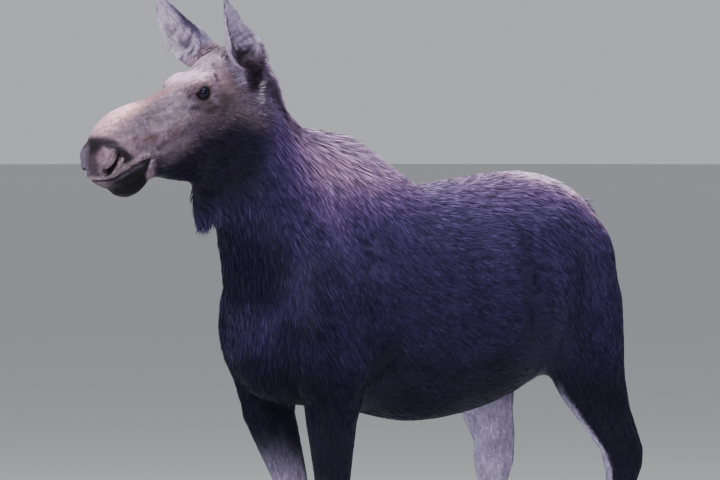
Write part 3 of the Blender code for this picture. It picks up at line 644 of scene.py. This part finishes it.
def points_of(mesh):
    return read(mesh.vertices, "co", 3).astype(float)


def place_of(mesh):
    return Place(points_of(mesh), read(mesh.vertex_normals, "vector", 3).astype(float))


def move_points(mesh, points):
    mesh.vertices.foreach_set("co", points.astype(np.float32).ravel())
    mesh.update()


def triangles_of(mesh):
    """Corner vertices and corner loops of every triangle."""
    mesh.calc_loop_triangles()
    return [read(mesh.loop_triangles, key, 3, np.int32) for key in ("vertices", "loops")]


def paint(mesh, colours):
    layer = mesh.color_attributes.new("hair", "FLOAT_COLOR", "POINT")
    rows = np.ones((len(colours), 4), np.float32)
    rows[:, :3] = colours
    layer.data.foreach_set("color", rows.ravel())


def grade(obj, values):
    """The name of a new vertex group that holds a value for each vertex, in steps."""
    group = obj.vertex_groups.new(name="looseness")
    steps = np.round(np.clip(values, 0, 1) * GRADE_STEPS).astype(int)
    for step in range(GRADE_STEPS + 1):
        members = np.nonzero(steps == step)[0].tolist()
        if members:
            group.add(members, step / GRADE_STEPS, "REPLACE")
    return group.name


# ---- Skin ----
SKIN_VOXEL = 0.0045
SKIN_TRIANGLES = 84000
FLESH_SMOOTHING = 170
HEAD_SMOOTHING = 3
HEAD_EDGE = 0.0075  # the longest edge that is left on the head
# Where the skin is finer still: how near the eyes, the nostrils and the mouth, and the longest edge.
FINER = ((0.048, 0.034, 0.016, 0.004), (0.036, 0.02, 0.0, 0.0022))
LID = 0.0026
# What fills the solid's nostrils before the skin's own slits are sunk: place and radii on the head.
NOSTRIL_FILL = np.array((0.062, 0.604, -0.005))
NOSTRIL_FILL_RADII = (0.02, 0.036, 0.014)
NOSTRIL_FILL_SLOPE = math.radians(-21)
FLESH = [name for name in NODES if not name.endswith(("_eye", "claw"))]


def flesh():
    """The nodes of flesh as one closed mesh, with balls to carry the lids and the nostrils filled in."""
    mesh = bmesh.new()
    for name in FLESH:
        mesh.from_mesh(NODES[name].data)
    ball = {"u_segments": 32, "v_segments": 20}
    for side in SIDES:
        place = Matrix.Translation(middle(side + "_eye"))
        bmesh.ops.create_uvsphere(mesh, **ball, radius=EYE_RADIUS + LID, matrix=place)
    axes = Matrix(HEAD_AXES).transposed().to_4x4()
    for sign in SIDES.values():
        centre = POLL + (NOSTRIL_FILL * (sign, 1, 1)) @ HEAD_AXES
        turn = Matrix.Rotation(NOSTRIL_FILL_SLOPE, 4, "X")
        place = Matrix.Translation(centre) @ axes @ turn @ Matrix.Diagonal((*NOSTRIL_FILL_RADII, 1))
        fill = bmesh.ops.create_uvsphere(mesh, **ball, radius=1, matrix=place)
        faces = {face for vertex in fill["verts"] for face in vertex.link_faces}
        bmesh.ops.recalc_face_normals(mesh, faces=list(faces))
    skin = object_from("skin", mesh)
    remeshed(skin, SKIN_VOXEL)

    place = place_of(skin.data)
    looseness = 1 - 0.94 * rise(place.on_leg, 0, 0.5)
    looseness = looseness * (1 - 0.91 * place.on_head) * (1 - 0.97 * place.on_ear)
    looseness = looseness * (1 - 0.85 * place.on_tail) * (1 - 0.85 * place.on_bell)
    relaxed(skin, FLESH_SMOOTHING, looseness)
    thin = skin.modifiers.new("thin", "DECIMATE")
    skin.data.calc_loop_triangles()
    thin.ratio = SKIN_TRIANGLES / len(skin.data.loop_triangles)
    thin.use_collapse_triangulate = True
    return applied(skin)


def refine(skin, inside, longest):
    """Splits the edges longer than a length between vertices that are inside."""
    mesh = bmesh.new()
    mesh.from_mesh(skin.data)
    edges = [
        edge
        for edge in mesh.edges
        if all(inside[vertex.index] for vertex in edge.verts) and edge.calc_length() > longest
    ]
    bmesh.ops.subdivide_edges(mesh, edges=edges, cuts=1, smooth=0.0)
    bmesh.ops.triangulate(mesh, faces=[face for face in mesh.faces if len(face.verts) > 3])
    mesh.to_mesh(skin.data)
    mesh.free()


# Soft forms on the skin. Each row, in millimetres: a line on the side of the animal, its reach and its
# height. The head's lines are (forward, up, ...) and the body's (back, up, ...), each in its own frame.
HEAD_FORMS = (
    ((150, 50, 195, 58, 240, 50), 20, 4),
    ((247, 26, 262, 27, 272, 18, 278, 6), 6, -1.8),
    ((277, 8, 281, 0), 8, 1),
    ((243, -8, 226, -18, 205, -20), 10, 2.6),
    ((276, -12, 253, -31, 226.5, -45, 199, -34.5), 9, -2.4),
    ((300, 4, 285, -20), 18, -3),
    ((240, -62, 320, -42, 400, -36), 34, 4),
    ((300, 40, 420, 30), 30, -3),
    ((130, -60, 180, -140, 260, -175), 45, 5),
    ((290, -110, 330, -150, 335, -200), 24, -3.5),
    ((585, 34, 618, 20, 640, 10), 34, 4.5),
    ((556, 10, 565, 34, 590, 54, 640, 50), 14, -3.2),
    ((580, -14, 600, -27, 624, -40, 654, -42), 10, 4.2),
    ((470, -52, 515, -43, 560, -39, 605, -41), 10, 3),
    ((560, -12, 580, -30), 10, -2.4),
    ((478, -50, 466, -70, 470, -100), 7, 3),
    ((466, -48, 454, -72, 456, -104), 6, -2.8),
    ((452, -46, 441, -74, 442, -104), 7, 2.2),
    ((500, 12, 502, -14), 10, -1.6),
    ((500, -78, 560, -70), 12, 2),
)
BODY_FORMS = (
    ((20, 1560, 50, 1400, 20, 1240), 60, 8),
    ((100, 1580, 130, 1360, 140, 1180), 45, -6),
    ((130, 1280, 100, 1120, 60, 1020), 75, 9),
    ((150, 1060, 100, 980, 50, 940), 30, -9),
    ((-60, 1200, -30, 1080, -20, 980), 35, -6),
    ((-100, 1160, -100, 1060), 50, 7),
    ((-150, 1020, -80, 950), 40, 6),
    ((800, 1450, 900, 1420), 60, 6),
    ((660, 1300, 700, 1120, 760, 980), 45, -10),
    ((760, 1200, 840, 1040), 55, 8),
    ((960, 1400, 990, 1200, 1010, 1020), 35, -5),
    ((1060, 1360, 1100, 1150, 1100, 1000), 50, 6),
    ((-130, 1700, -100, 1520, -120, 1360), 50, -5),
    ((-240, 1740, -220, 1580, -200, 1420), 45, 5),
)
RIB_SPACING = 0.075
CROWN_RISE = 0.016
CHIN_RISE = 0.009
NOSTRIL_DEPTH = 0.016
LIP_GROOVE = 0.0065
LID_OPENING = (0.0205, 0.0158, 0.0145)  # half length, height above the middle and depth below it


def relief(place):
    """How far the soft forms raise each point of the skin."""
    height = np.zeros(len(place.points))
    on_side = rise(abs(place.normals[:, 0]), 0.15, 0.6)
    for forms, points, sideways in (
        (HEAD_FORMS, place.head, rise(abs(place.head_normals[:, 0]), 0.15, 0.55) * place.on_head),
        (BODY_FORMS, place.body, on_side * (1 - place.on_head) * (1 - place.on_ear)),
    ):
        for line, reach, lift in thousandths(forms):
            share = np.clip(line_distance(points[:, 1:], line)[0] / reach, 0, 1)
            height += sideways * lift * (1 - share**2) ** 2
    y, z = place.body[:, 1], place.body[:, 2]
    ribs = rise(y, 0.26, 0.36) * fall(y, 0.56, 0.68) * rise(z, 0.95, 1.1) * fall(z, 1.3, 1.45)
    waves = np.sin((y - 0.22 * (1.5 - z)) * 2 * math.pi / RIB_SPACING)
    height += 0.0009 * ribs * waves * (1 - place.on_head)
    _, forward, up = place.head.T
    crown = rise(up, 0.03, 0.06) * rise(forward, -0.04, 0.02) * fall(forward, 0.11, 0.17)
    crown = crown * (1 - place.on_ear)
    chin = rise(-place.head_normals[:, 2], 0.2, 0.7) * place.on_head
    chin = chin * rise(forward, 0.46, 0.52) * fall(forward, 0.6, 0.66)
    trunk = (1 - place.on_head) * (1 - place.on_ear) * (1 - place.on_leg)
    uneven = 0.0016 * trunk * ripple(place.points, 0.16, 31)
    return height + uneven + CROWN_RISE * crown + CHIN_RISE * chin


def nostril_width(along):
    """Half the nostril's width along its line, from behind to the front."""
    return np.interp(along, (0, 0.25, 0.6, 0.85, 1), (0.0022, 0.007, 0.0128, 0.0134, 0.0078))


def open_nostrils(place, points):
    """Sinks the slits of the nostrils, wide in front and narrow behind, under the bulge of the wing."""
    distance, along = place.side_line(NOSTRIL)
    side = np.sign(place.head[:, 0])
    facing = rise(side * place.head_normals[:, 0], 0.0, 0.45) * rise(abs(place.head[:, 0]), 0.04, 0.058)
    sink = facing * fall(distance / nostril_width(along), 0.55, 1.15) * place.on_head
    way = columns(-side * 0.85, np.full(len(side), -0.3), np.full(len(side), 0.42)) @ HEAD_AXES
    return points + way * (sink * NOSTRIL_DEPTH)[:, None]


def part_lips(place, points):
    groove = fall(place.side_line(MOUTH)[0], 0.0, 0.005) * rise(place.head[:, 1], 0.452, 0.475)
    return points - place.normals * (LIP_GROOVE * (groove * place.on_head))[:, None]


def gaze(side):
    return unit((GAZE * (SIDES[side], 1, 1)) @ HEAD_AXES)


def shape_lids(points):
    """Opens the lids as an almond over each eyeball, with a thick rim, and sinks the skin inside it."""
    for side, sign in SIDES.items():
        centre = middle(side + "_eye")
        out = gaze(side)
        ahead = unit(HEAD_AXES[1] - (HEAD_AXES[1] @ out) * out - 0.16 * HEAD_AXES[2])
        above = np.cross(ahead, out) * -sign
        offset = points - centre
        distance = np.linalg.norm(offset, axis=1)
        along, height = offset @ ahead, offset @ above
        length, top, bottom = LID_OPENING
        oval = np.sqrt((along / length) ** 2 + (height / np.where(height > 0, top, bottom)) ** 2)
        gap = (oval - 1) * bottom
        front = (offset @ out > 0) & (distance < EYE_RADIUS + 0.014)
        rim = EYE_RADIUS + 0.001 + LID * np.sqrt(np.clip(gap / 0.0025, 0, 1))
        outside = np.maximum(rim, distance * rise(gap, 0.0015, 0.0045))
        reach = np.where(gap > 0, outside, EYE_RADIUS - 0.0045)
        change = front & (gap < 0.0045)
        scale = np.where(change, reach / np.maximum(distance, 1e-9), 1.0)
        points = centre + offset * scale[:, None]
    return points


def make_skin():
    skin = flesh()
    place = place_of(skin.data)
    front = place.on_head * rise(place.head[:, 1], -0.02, 0.05)
    refine(skin, np.maximum(front, place.on_ear) > 0.5, HEAD_EDGE)
    relaxed(skin, HEAD_SMOOTHING, place_of(skin.data).on_head)
    for eye, nostril, mouth, longest in FINER:
        place = place_of(skin.data)
        near = (place.eye_distance() < eye) | (place.side_line(NOSTRIL)[0] < nostril)
        near = near | (place.side_line(MOUTH)[0] < mouth)
        refine(skin, near & (place.on_head > 0.5), longest)
    place = place_of(skin.data)
    points = place.points + place.normals * (relief(place) - coat(place)[:, 3])[:, None]
    points = open_nostrils(place, points)
    points = part_lips(place, points)
    points = shape_lids(points)
    move_points(skin.data, points)
    unwrap(skin)
    skin.data.shade_smooth()
    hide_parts(*FLESH)
    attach(skin, "root")
    return skin


def unwrap(skin):
    """Spreads the skin's own shape out flat, for the map that the colours are baked to."""
    skin.data.uv_layers.new(name="OFBake")
    bpy.context.view_layer.objects.active = skin
    skin.select_set(True)
    bpy.ops.object.mode_set(mode="EDIT")
    bpy.ops.mesh.select_all(action="SELECT")
    bpy.ops.uv.smart_project(angle_limit=math.radians(70), island_margin=0.0008)
    bpy.ops.object.mode_set(mode="OBJECT")
    skin.select_set(False)


def paint_skin(skin):
    """The coat's colours on the skin, with painted shade in the nostrils, and which way the grain of its
    hair runs.
    """
    place = place_of(skin.data)
    distance, along = place.side_line(NOSTRIL)
    # Painted shade inside the sunk slits of the nostrils.
    hole = fall(distance / nostril_width(along), 0.95, 1.2) * place.on_head
    hole = hole * rise(abs(place.head[:, 0]), 0.036, 0.052)
    colour = markings(place) * 0.9 * np.exp(CLUMPING * clumps(place))[:, None]
    paint(skin.data, mix(colour, NOSTRIL_SHADE, hole))
    grain = np.maximum(place.on_head, 1 - np.maximum(place.on_leg, place.on_neck))
    layer = skin.data.attributes.new("grain", "FLOAT", "POINT")
    layer.data.foreach_set("value", grain.astype(np.float32))
    skin.data.materials.append(skin_material())


# ---- Tufts ----
PATCH = 0.003  # across each tuft on the map that the colours are baked to
MOST_TRIANGLES = 190000
LONG_HAIR = 0.035
ROOT_DEPTH = 0.0008
# How wide a tuft is at its root, at each joint and at its tip, for each number of segments.
SPREAD = {2: (0.75, 0.9, 0.0), 3: (0.7, 1.0, 0.72, 0.0)}
# Darker tufts keep more of the painted blue skylight reflection, and lighter tips turn warmer as grizzled
# hair.
WARMTH = np.array((1.06, 1.0, 0.88))  # how closely a tuft's red, green and blue follow its brightness
CLUMPING = 0.44
BLADE_FILL = 0.62  # the share of its length times its width that a tuft covers
REGIONS = ("head", "ears", "neck", "chest", "barrel", "hindquarters", "legs")


def scatter(skin, density, rng):
    """Roots on the skin: the triangle of each, and its weights in it."""
    corners, loops = triangles_of(skin.data)
    points = points_of(skin.data)[corners]
    normals = np.cross(points[:, 1] - points[:, 0], points[:, 2] - points[:, 0])
    areas = np.linalg.norm(normals, axis=1) / 2
    wanted = areas * density[corners].mean(axis=1)
    counts = np.floor(wanted + rng.random(len(wanted))).astype(int)
    chosen = np.repeat(np.arange(len(counts)), counts)
    first, second = np.sqrt(rng.random(len(chosen))), rng.random(len(chosen))
    weights = columns(1 - first, first * (1 - second), first * second)
    return corners[chosen], loops[chosen], weights


def blend_corners(values, corners, weights):
    return (values[corners] * weights[:, :, None]).sum(axis=1)


def tuft_mesh(name, roots, normals, ways, rows, spots, colours, uneven, segments, rng):
    """Flat curved blades, one for each root, as one mesh."""
    count = len(roots)
    lengths = rows[:, 0] * rng.uniform(0.7, 1.25, count)
    widths = rows[:, 1] * rng.uniform(0.7, 1.3, count)
    lifts = np.radians(rows[:, 2] * rng.uniform(0.35, 1.55, count))
    rolls = rng.normal(0, 0.42, count)
    across = np.cross(ways, normals)
    across = across * np.cos(rolls)[:, None] + normals * np.sin(rolls)[:, None]
    centre = roots - normals * ROOT_DEPTH
    sections, levels = [], []
    for i, share in enumerate(np.linspace(0, 1, segments + 1)):
        if i:
            lift = lifts * (1.25 - 0.95 * share)
            step = ways * np.cos(lift)[:, None] + normals * np.sin(lift)[:, None]
            centre = centre + step * (lengths / segments)[:, None]
        half = across * (widths * SPREAD[segments][i] / 2)[:, None]
        if i < segments:
            sections += [centre - half, centre + half]
            levels += [share, share]
        else:
            sections.append(centre)
            levels.append(1.0)
    per = len(sections)
    points = np.stack(sections, axis=1).reshape(-1, 3)
    levels = np.array(levels)
    starts = (np.arange(count) * per)[:, None]
    last = 2 * (segments - 1)
    faces = [(i, i + 1, i + 3, i + 2) for i in range(0, last, 2)] + [(last, last + 1, last + 2)]
    loops = np.concatenate([starts + face for face in faces], axis=1).ravel()
    sizes = np.tile([4] * (segments - 1) + [3], count)

    data = bpy.data.meshes.new(name)
    data.vertices.add(len(points))
    data.vertices.foreach_set("co", points.astype(np.float32).ravel())
    data.loops.add(len(loops))
    data.loops.foreach_set("vertex_index", loops.astype(np.int32))
    data.polygons.add(len(sizes))
    data.polygons.foreach_set("loop_start", (np.cumsum(sizes) - sizes).astype(np.int32))
    data.polygons.foreach_set("use_smooth", np.ones(len(sizes), bool))
    data.update(calc_edges=True)

    shade = np.exp(rng.normal(0, 1, count) * uneven)
    shade = shade * (1 + 1.6 * uneven * (rng.random(count) < 0.1))
    bright = (0.6 + 0.66 * levels[None, :, None]) * np.minimum(shade, 3.0)[:, None, None]
    colours = colours[:, None] * bright**WARMTH
    paint(data, np.clip(colours.reshape(-1, 3), 0, 1))

    aside = np.array([-0.5, 0.5] * segments + [0.0])
    spots = spots[:, None] + columns(aside, levels)[None] * PATCH
    layer = data.uv_layers.new(name="OFBake")
    layer.data.foreach_set("uv", spots.reshape(-1, 2)[loops].astype(np.float32).ravel())

    blade = unit(np.cross(across, ways))
    blade = blade * np.sign((blade * normals).sum(axis=1))[:, None]
    facing = unit(normals * 0.7 + blade * 0.3)
    data.normals_split_custom_set_from_vertices(np.repeat(facing, per, axis=0))
    return data


def region_of(place):
    """The number of the coat piece that each root belongs to."""
    y = place.body[:, 1]
    region = np.full(len(y), REGIONS.index("barrel"))
    shares = (place.on_neck, place.on_leg, place.on_head, place.on_ear)
    inside = (y < 0.27, y > 0.72, *(share > 0.5 for share in shares))
    for word, rows in zip(("chest", "hindquarters", "neck", "legs", "head", "ears"), inside):
        region[rows] = REGIONS.index(word)
    return region


def make_coat(skin, material):
    rng = np.random.default_rng(7)
    whole = place_of(skin.data)
    rows = coat(whole)
    density = rows[:, 4] / (BLADE_FILL * rows[:, 0] * rows[:, 1]) * bareness(whole)
    corners, loops, weights = scatter(skin, density, rng)
    roots = blend_corners(whole.points, corners, weights)
    spots = read(skin.data.uv_layers["OFBake"].data, "uv", 2).astype(float)
    spots = blend_corners(spots, loops, weights)
    place = Place(roots, unit(blend_corners(whole.normals, corners, weights)))
    rows = coat(place)
    ways = lie(place)
    colours = markings(place) * np.exp(CLUMPING * clumps(place))[:, None]
    arrays = (roots, place.normals, ways, rows, spots, colours, unevenness(place))
    region = region_of(place)
    is_long = rows[:, 0] > LONG_HAIR
    for number, word in enumerate(REGIONS):
        for side, sign in SIDES.items():
            for kind, segments, wanted in (("long", 3, is_long), ("short", 2, ~is_long)):
                chosen = np.nonzero((region == number) & (roots[:, 0] * sign >= 0) & wanted)[0]
                each = MOST_TRIANGLES // (2 * segments - 1)
                for part, start in enumerate(range(0, len(chosen), each)):
                    members = chosen[start : start + each]
                    name = f"coat_{word}_{side}_{kind}_{part + 1}"
                    values = [array[members] for array in arrays]
                    piece = object_of(name, tuft_mesh(name, *values, segments, rng))
                    piece.data.materials.append(material)
                    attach(piece, "root")


def bareness(place):
    """0 where no hair grows: in the nostrils, between the lips and on the lids' rims."""
    mouth = rise(place.side_line(MOUTH)[0], 0.003, 0.006)
    hair = rise(place.eye_distance(), 0.0255, 0.0285) * rise(place.side_line(NOSTRIL)[0], 0.008, 0.014)
    hair = hair * np.where(place.on_head > 0.5, mouth, 1)
    return np.where(place.on_head > 0.3, hair, 1)


# ---- Materials ----


class Nodes:
    """A material's node tree, built in short calls."""

    def __init__(self, name, roughness, specular=0.35):
        self.material = bpy.data.materials.new(name)
        self.material.use_nodes = True
        self.tree = self.material.node_tree
        self.shader = self.tree.nodes["Principled BSDF"]
        self.shader.inputs["Roughness"].default_value = roughness
        self.shader.inputs["Specular IOR Level"].default_value = specular

    def add(self, kind, inputs=(), **settings):
        node = self.tree.nodes.new(kind)
        for key, value in settings.items():
            setattr(node, key, value)
        for key, value in dict(inputs).items():
            if isinstance(value, bpy.types.NodeSocket):
                self.tree.links.new(value, node.inputs[key])
            else:
                node.inputs[key].default_value = value
        return node

    def link(self, output, key):
        self.tree.links.new(output, self.shader.inputs[key])

    def noise(self, scale, detail=3.0, vector=None):
        inputs = {"Scale": scale, "Detail": detail, "Roughness": 0.55}
        if vector is not None:
            inputs["Vector"] = vector
        return self.add("ShaderNodeTexNoise", inputs).outputs["Fac"]

    def stretched(self, squeeze, turn=(0, 0, 0)):
        """Object coordinates turned, then squeezed, for marks that run one way."""
        where = self.add("ShaderNodeTexCoord").outputs["Object"]
        inputs = {"Vector": where, "Rotation": turn, "Scale": squeeze}
        return self.add("ShaderNodeMapping", inputs).outputs["Vector"]

    def math(self, operation, first, second):
        return self.add("ShaderNodeMath", {0: first, 1: second}, operation=operation).outputs[0]

    def ramp(self, value, low, high):
        inputs = {"Value": value, "To Min": low, "To Max": high}
        return self.add("ShaderNodeMapRange", inputs).outputs["Result"]

    def grey(self, value):
        return self.add("ShaderNodeCombineColor", dict.fromkeys(("Red", "Green", "Blue"), value)).outputs[0]

    def colours(self, value, *stops):
        """A ramp through stops, each a position and a colour, as the base colour."""
        node = self.add("ShaderNodeValToRGB", {"Fac": value})
        elements = node.color_ramp.elements
        elements[0].position, elements[1].position = stops[0][0], stops[-1][0]
        for i, (position, colour) in enumerate(stops):
            inner = 0 < i < len(stops) - 1
            stop = elements.new(position) if inner else elements[i]
            stop.color = (*colour, 1)
        self.link(node.outputs["Color"], "Base Color")

    def tinted(self, colour, value):
        """A colour made lighter and darker by a number about 1."""
        grey = self.grey(value)
        node = self.add("ShaderNodeMix", {"Factor": 1.0}, data_type="RGBA", blend_type="MULTIPLY")
        self.tree.links.new(colour, node.inputs[6])
        self.tree.links.new(grey, node.inputs[7])
        return node.outputs[2]

    def bump(self, height, distance, strength):
        inputs = {"Height": height, "Distance": distance, "Strength": strength}
        self.link(self.add("ShaderNodeBump", inputs).outputs["Normal"], "Normal")


def hair_material():
    """Hair: the tuft's own colour, with strands along it."""
    nodes = Nodes("hair", 0.55, 0.1)
    colour = nodes.add("ShaderNodeAttribute", attribute_name="hair").outputs["Color"]
    fine = nodes.noise(900.0, 2.0, nodes.stretched((1.0, 0.25, 0.25)))
    nodes.link(nodes.tinted(colour, nodes.ramp(fine, 0.7, 1.3)), "Base Color")
    nodes.shader.inputs["Sheen Weight"].default_value = 0.035
    nodes.shader.inputs["Sheen Roughness"].default_value = 0.45
    nodes.shader.inputs["Sheen Tint"].default_value = (0.75, 0.62, 1.0, 1.0)
    return nodes.material


def skin_material():
    """Skin under the coat: the same markings, with the grain of short hair as bump."""
    nodes = Nodes("skin", 0.62, 0.16)
    colour = nodes.add("ShaderNodeAttribute", attribute_name="hair").outputs["Color"]
    down = nodes.noise(420.0, 3.0, nodes.stretched((1.0, 1.0, 0.14)))
    along = nodes.noise(420.0, 3.0, nodes.stretched((1.0, 0.14, 1.0), (-HEAD_PITCH, 0, 0)))
    weight = nodes.add("ShaderNodeAttribute", attribute_name="grain").outputs["Fac"]
    grain = nodes.add("ShaderNodeMix", {0: weight, 2: down, 3: along}, data_type="FLOAT").outputs[0]
    nodes.link(nodes.tinted(colour, nodes.ramp(grain, 0.55, 1.45)), "Base Color")
    nodes.bump(grain, 0.0012, 0.7)
    return nodes.material


# ---- Eyes and claws ----
# From the white to the pupil: where each colour stands, and the colour.
IRIS = (
    (0.0, (0.012, 0.008, 0.008)), (0.45, (0.01, 0.006, 0.005)),
    (0.72, (0.005, 0.004, 0.005)), (1.0, (0.002, 0.002, 0.003)),
)
CORNEA_EDGE = 0.8  # the cosine from the gaze at which the cornea's bulge starts
CORNEA_RISE = 0.0012


def eye_material(side):
    nodes = Nodes(side + "_eye", 0.05, 0.4)
    nodes.shader.inputs["Specular Tint"].default_value = (0.55, 0.52, 1.0, 1.0)
    centre = tuple(middle(side + "_eye"))
    where = nodes.add("ShaderNodeTexCoord").outputs["Object"]
    offset = nodes.add("ShaderNodeVectorMath", {0: where, 1: centre}, operation="SUBTRACT").outputs[0]
    along = nodes.add("ShaderNodeVectorMath", {0: offset, 1: tuple(gaze(side))}, operation="DOT_PRODUCT")
    ring = nodes.ramp(along.outputs["Value"], 0.0, 1.0)
    ring.node.inputs["From Min"].default_value = EYE_RADIUS * 0.6
    ring.node.inputs["From Max"].default_value = EYE_RADIUS * 0.98
    nodes.colours(ring, *IRIS)
    return nodes.material


def make_eye(side):
    """The eyeball, with the cornea's bulge."""
    mesh = bmesh.new()
    bmesh.ops.create_uvsphere(mesh, u_segments=48, v_segments=32, radius=EYE_RADIUS)
    out = Vector(gaze(side))
    for vertex in mesh.verts:
        bulge = max(vertex.co.normalized().dot(out) - CORNEA_EDGE, 0) / 0.2
        vertex.co += out * CORNEA_RISE * bulge
        vertex.co += Vector(middle(side + "_eye"))
    eye = object_from(side + "_eyeball", mesh)
    eye.data.shade_smooth()
    eye.data.materials.append(eye_material(side))
    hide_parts(side + "_eye")
    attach(eye, "root")


CLAW_VOXEL = 0.0028
DEWCLAW_VOXEL = 0.0022
CLAW_SMOOTHING = 5
SOLE = 0.0022  # below this height, a claw is flat on the floor


def claw_material():
    """Horn: dark, ringed by growth and streaked with fibres, in paler and darker bands."""
    nodes = Nodes("claw_horn", 0.42, 0.4)
    height = nodes.add("ShaderNodeSeparateXYZ", {0: nodes.stretched((1, 1, 1), (0.16, 0, 0))}).outputs["Z"]
    wobble = nodes.math("MULTIPLY", nodes.noise(14.0), 0.03)
    inputs = {"W": nodes.math("ADD", height, wobble), "Scale": 210.0}
    rings = nodes.add("ShaderNodeTexNoise", inputs, noise_dimensions="1D").outputs["Fac"]
    fibres = nodes.noise(260.0, 3.0, nodes.stretched((1.0, 1.0, 0.06)))
    mixed = nodes.math("ADD", nodes.math("MULTIPLY", rings, 0.6), nodes.math("MULTIPLY", fibres, 0.4))
    nodes.colours(mixed, (0.25, (0.016, 0.013, 0.013)), (0.8, (0.085, 0.066, 0.06)))
    nodes.bump(mixed, 0.0016, 0.8)
    return nodes.material


def make_claw(name, material):
    mesh = bmesh.new()
    mesh.from_mesh(NODES[name].data)
    claw = object_from(name + "_horn", mesh)
    on_floor = "dew" not in name
    remeshed(claw, CLAW_VOXEL if on_floor else DEWCLAW_VOXEL)
    relaxed(claw, CLAW_SMOOTHING)
    points = points_of(claw.data)
    if on_floor:
        points[:, 2] = np.where(points[:, 2] < SOLE, 0.0, points[:, 2])
    move_points(claw.data, points)
    claw.data.shade_smooth()
    claw.data.materials.append(material)
    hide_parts(name)
    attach(claw, "root")


# ---- Studio and camera ----
VIEW_AZIMUTH = math.radians(52)
VIEW_ELEVATION = math.radians(2)
AIM = BODY_ORIGIN + np.array((0.117, 0.15, 1.411))
CAMERA_DISTANCE = 14.0
FRAME_WIDTH = 720 / 326  # metres across the picture at the aim
FLOOR_RADIUS = 90
BACKDROP = (0.8, 0.83, 0.88, 1)
BACKDROP_STRENGTH = 0.6
LIGHTS = {
    # name: place from the aim, size, power, colour
    "sky": ((0.3, 0.6, 5.0), 6.0, 560, (0.93, 0.95, 1.0)),
    "front": ((4.5, -4.0, 2.2), 3.5, 120, (1.0, 0.98, 0.97)),
    "nose": ((-2.5, -5.0, 2.6), 3.0, 110, (0.96, 0.97, 1.0)),
    "rim": ((-3.0, 4.0, 3.2), 3.0, 140, (0.95, 0.96, 1.0)),
    "catch": ((3.4, -4.2, 1.6), 0.24, 32, (1.0, 1.0, 1.0)),
}


def make_studio():
    mesh = bmesh.new()
    bmesh.ops.create_circle(mesh, cap_ends=True, segments=96, radius=FLOOR_RADIUS)
    floor = object_from("floor", mesh)
    nodes = Nodes("floor", 0.85, 0.2)
    value = nodes.ramp(nodes.noise(1.5, 4.0), 0.52, 0.6)
    nodes.link(nodes.grey(value), "Base Color")
    floor.data.materials.append(nodes.material)

    world = bpy.data.worlds.new("studio")
    bpy.context.scene.world = world
    world.use_nodes = True
    background = world.node_tree.nodes["Background"].inputs
    background["Color"].default_value = BACKDROP
    background["Strength"].default_value = BACKDROP_STRENGTH
    for name, (offset, size, power, colour) in LIGHTS.items():
        lamp = bpy.data.lights.new(name, "AREA")
        lamp.shape = "DISK"
        lamp.size = size
        lamp.energy = power
        lamp.color = colour
        light = object_of(name, lamp)
        light.location = Vector(AIM) + Vector(offset)
        light.rotation_euler = (-Vector(offset)).to_track_quat("-Z", "Y").to_euler()


def make_camera():
    level = math.cos(VIEW_ELEVATION)
    back = (math.sin(VIEW_AZIMUTH) * level, -math.cos(VIEW_AZIMUTH) * level, math.sin(VIEW_ELEVATION))
    back = Vector(back)
    lens = bpy.data.cameras.new("camera")
    lens.sensor_width = 36
    lens.lens = lens.sensor_width * CAMERA_DISTANCE / FRAME_WIDTH
    lens.clip_end = 200
    camera = object_of("camera", lens)
    camera.location = Vector(AIM) + back * CAMERA_DISTANCE
    camera.rotation_euler = back.to_track_quat("Z", "Y").to_euler()
    bpy.context.scene.camera = camera


def main():
    make_camera()
    make_studio()
    skin = make_skin()
    paint_skin(skin)
    make_coat(skin, hair_material())
    for side in SIDES:
        make_eye(side)
    horn = claw_material()
    for name in NODES:
        if name.endswith("claw"):
            make_claw(name, horn)


main()
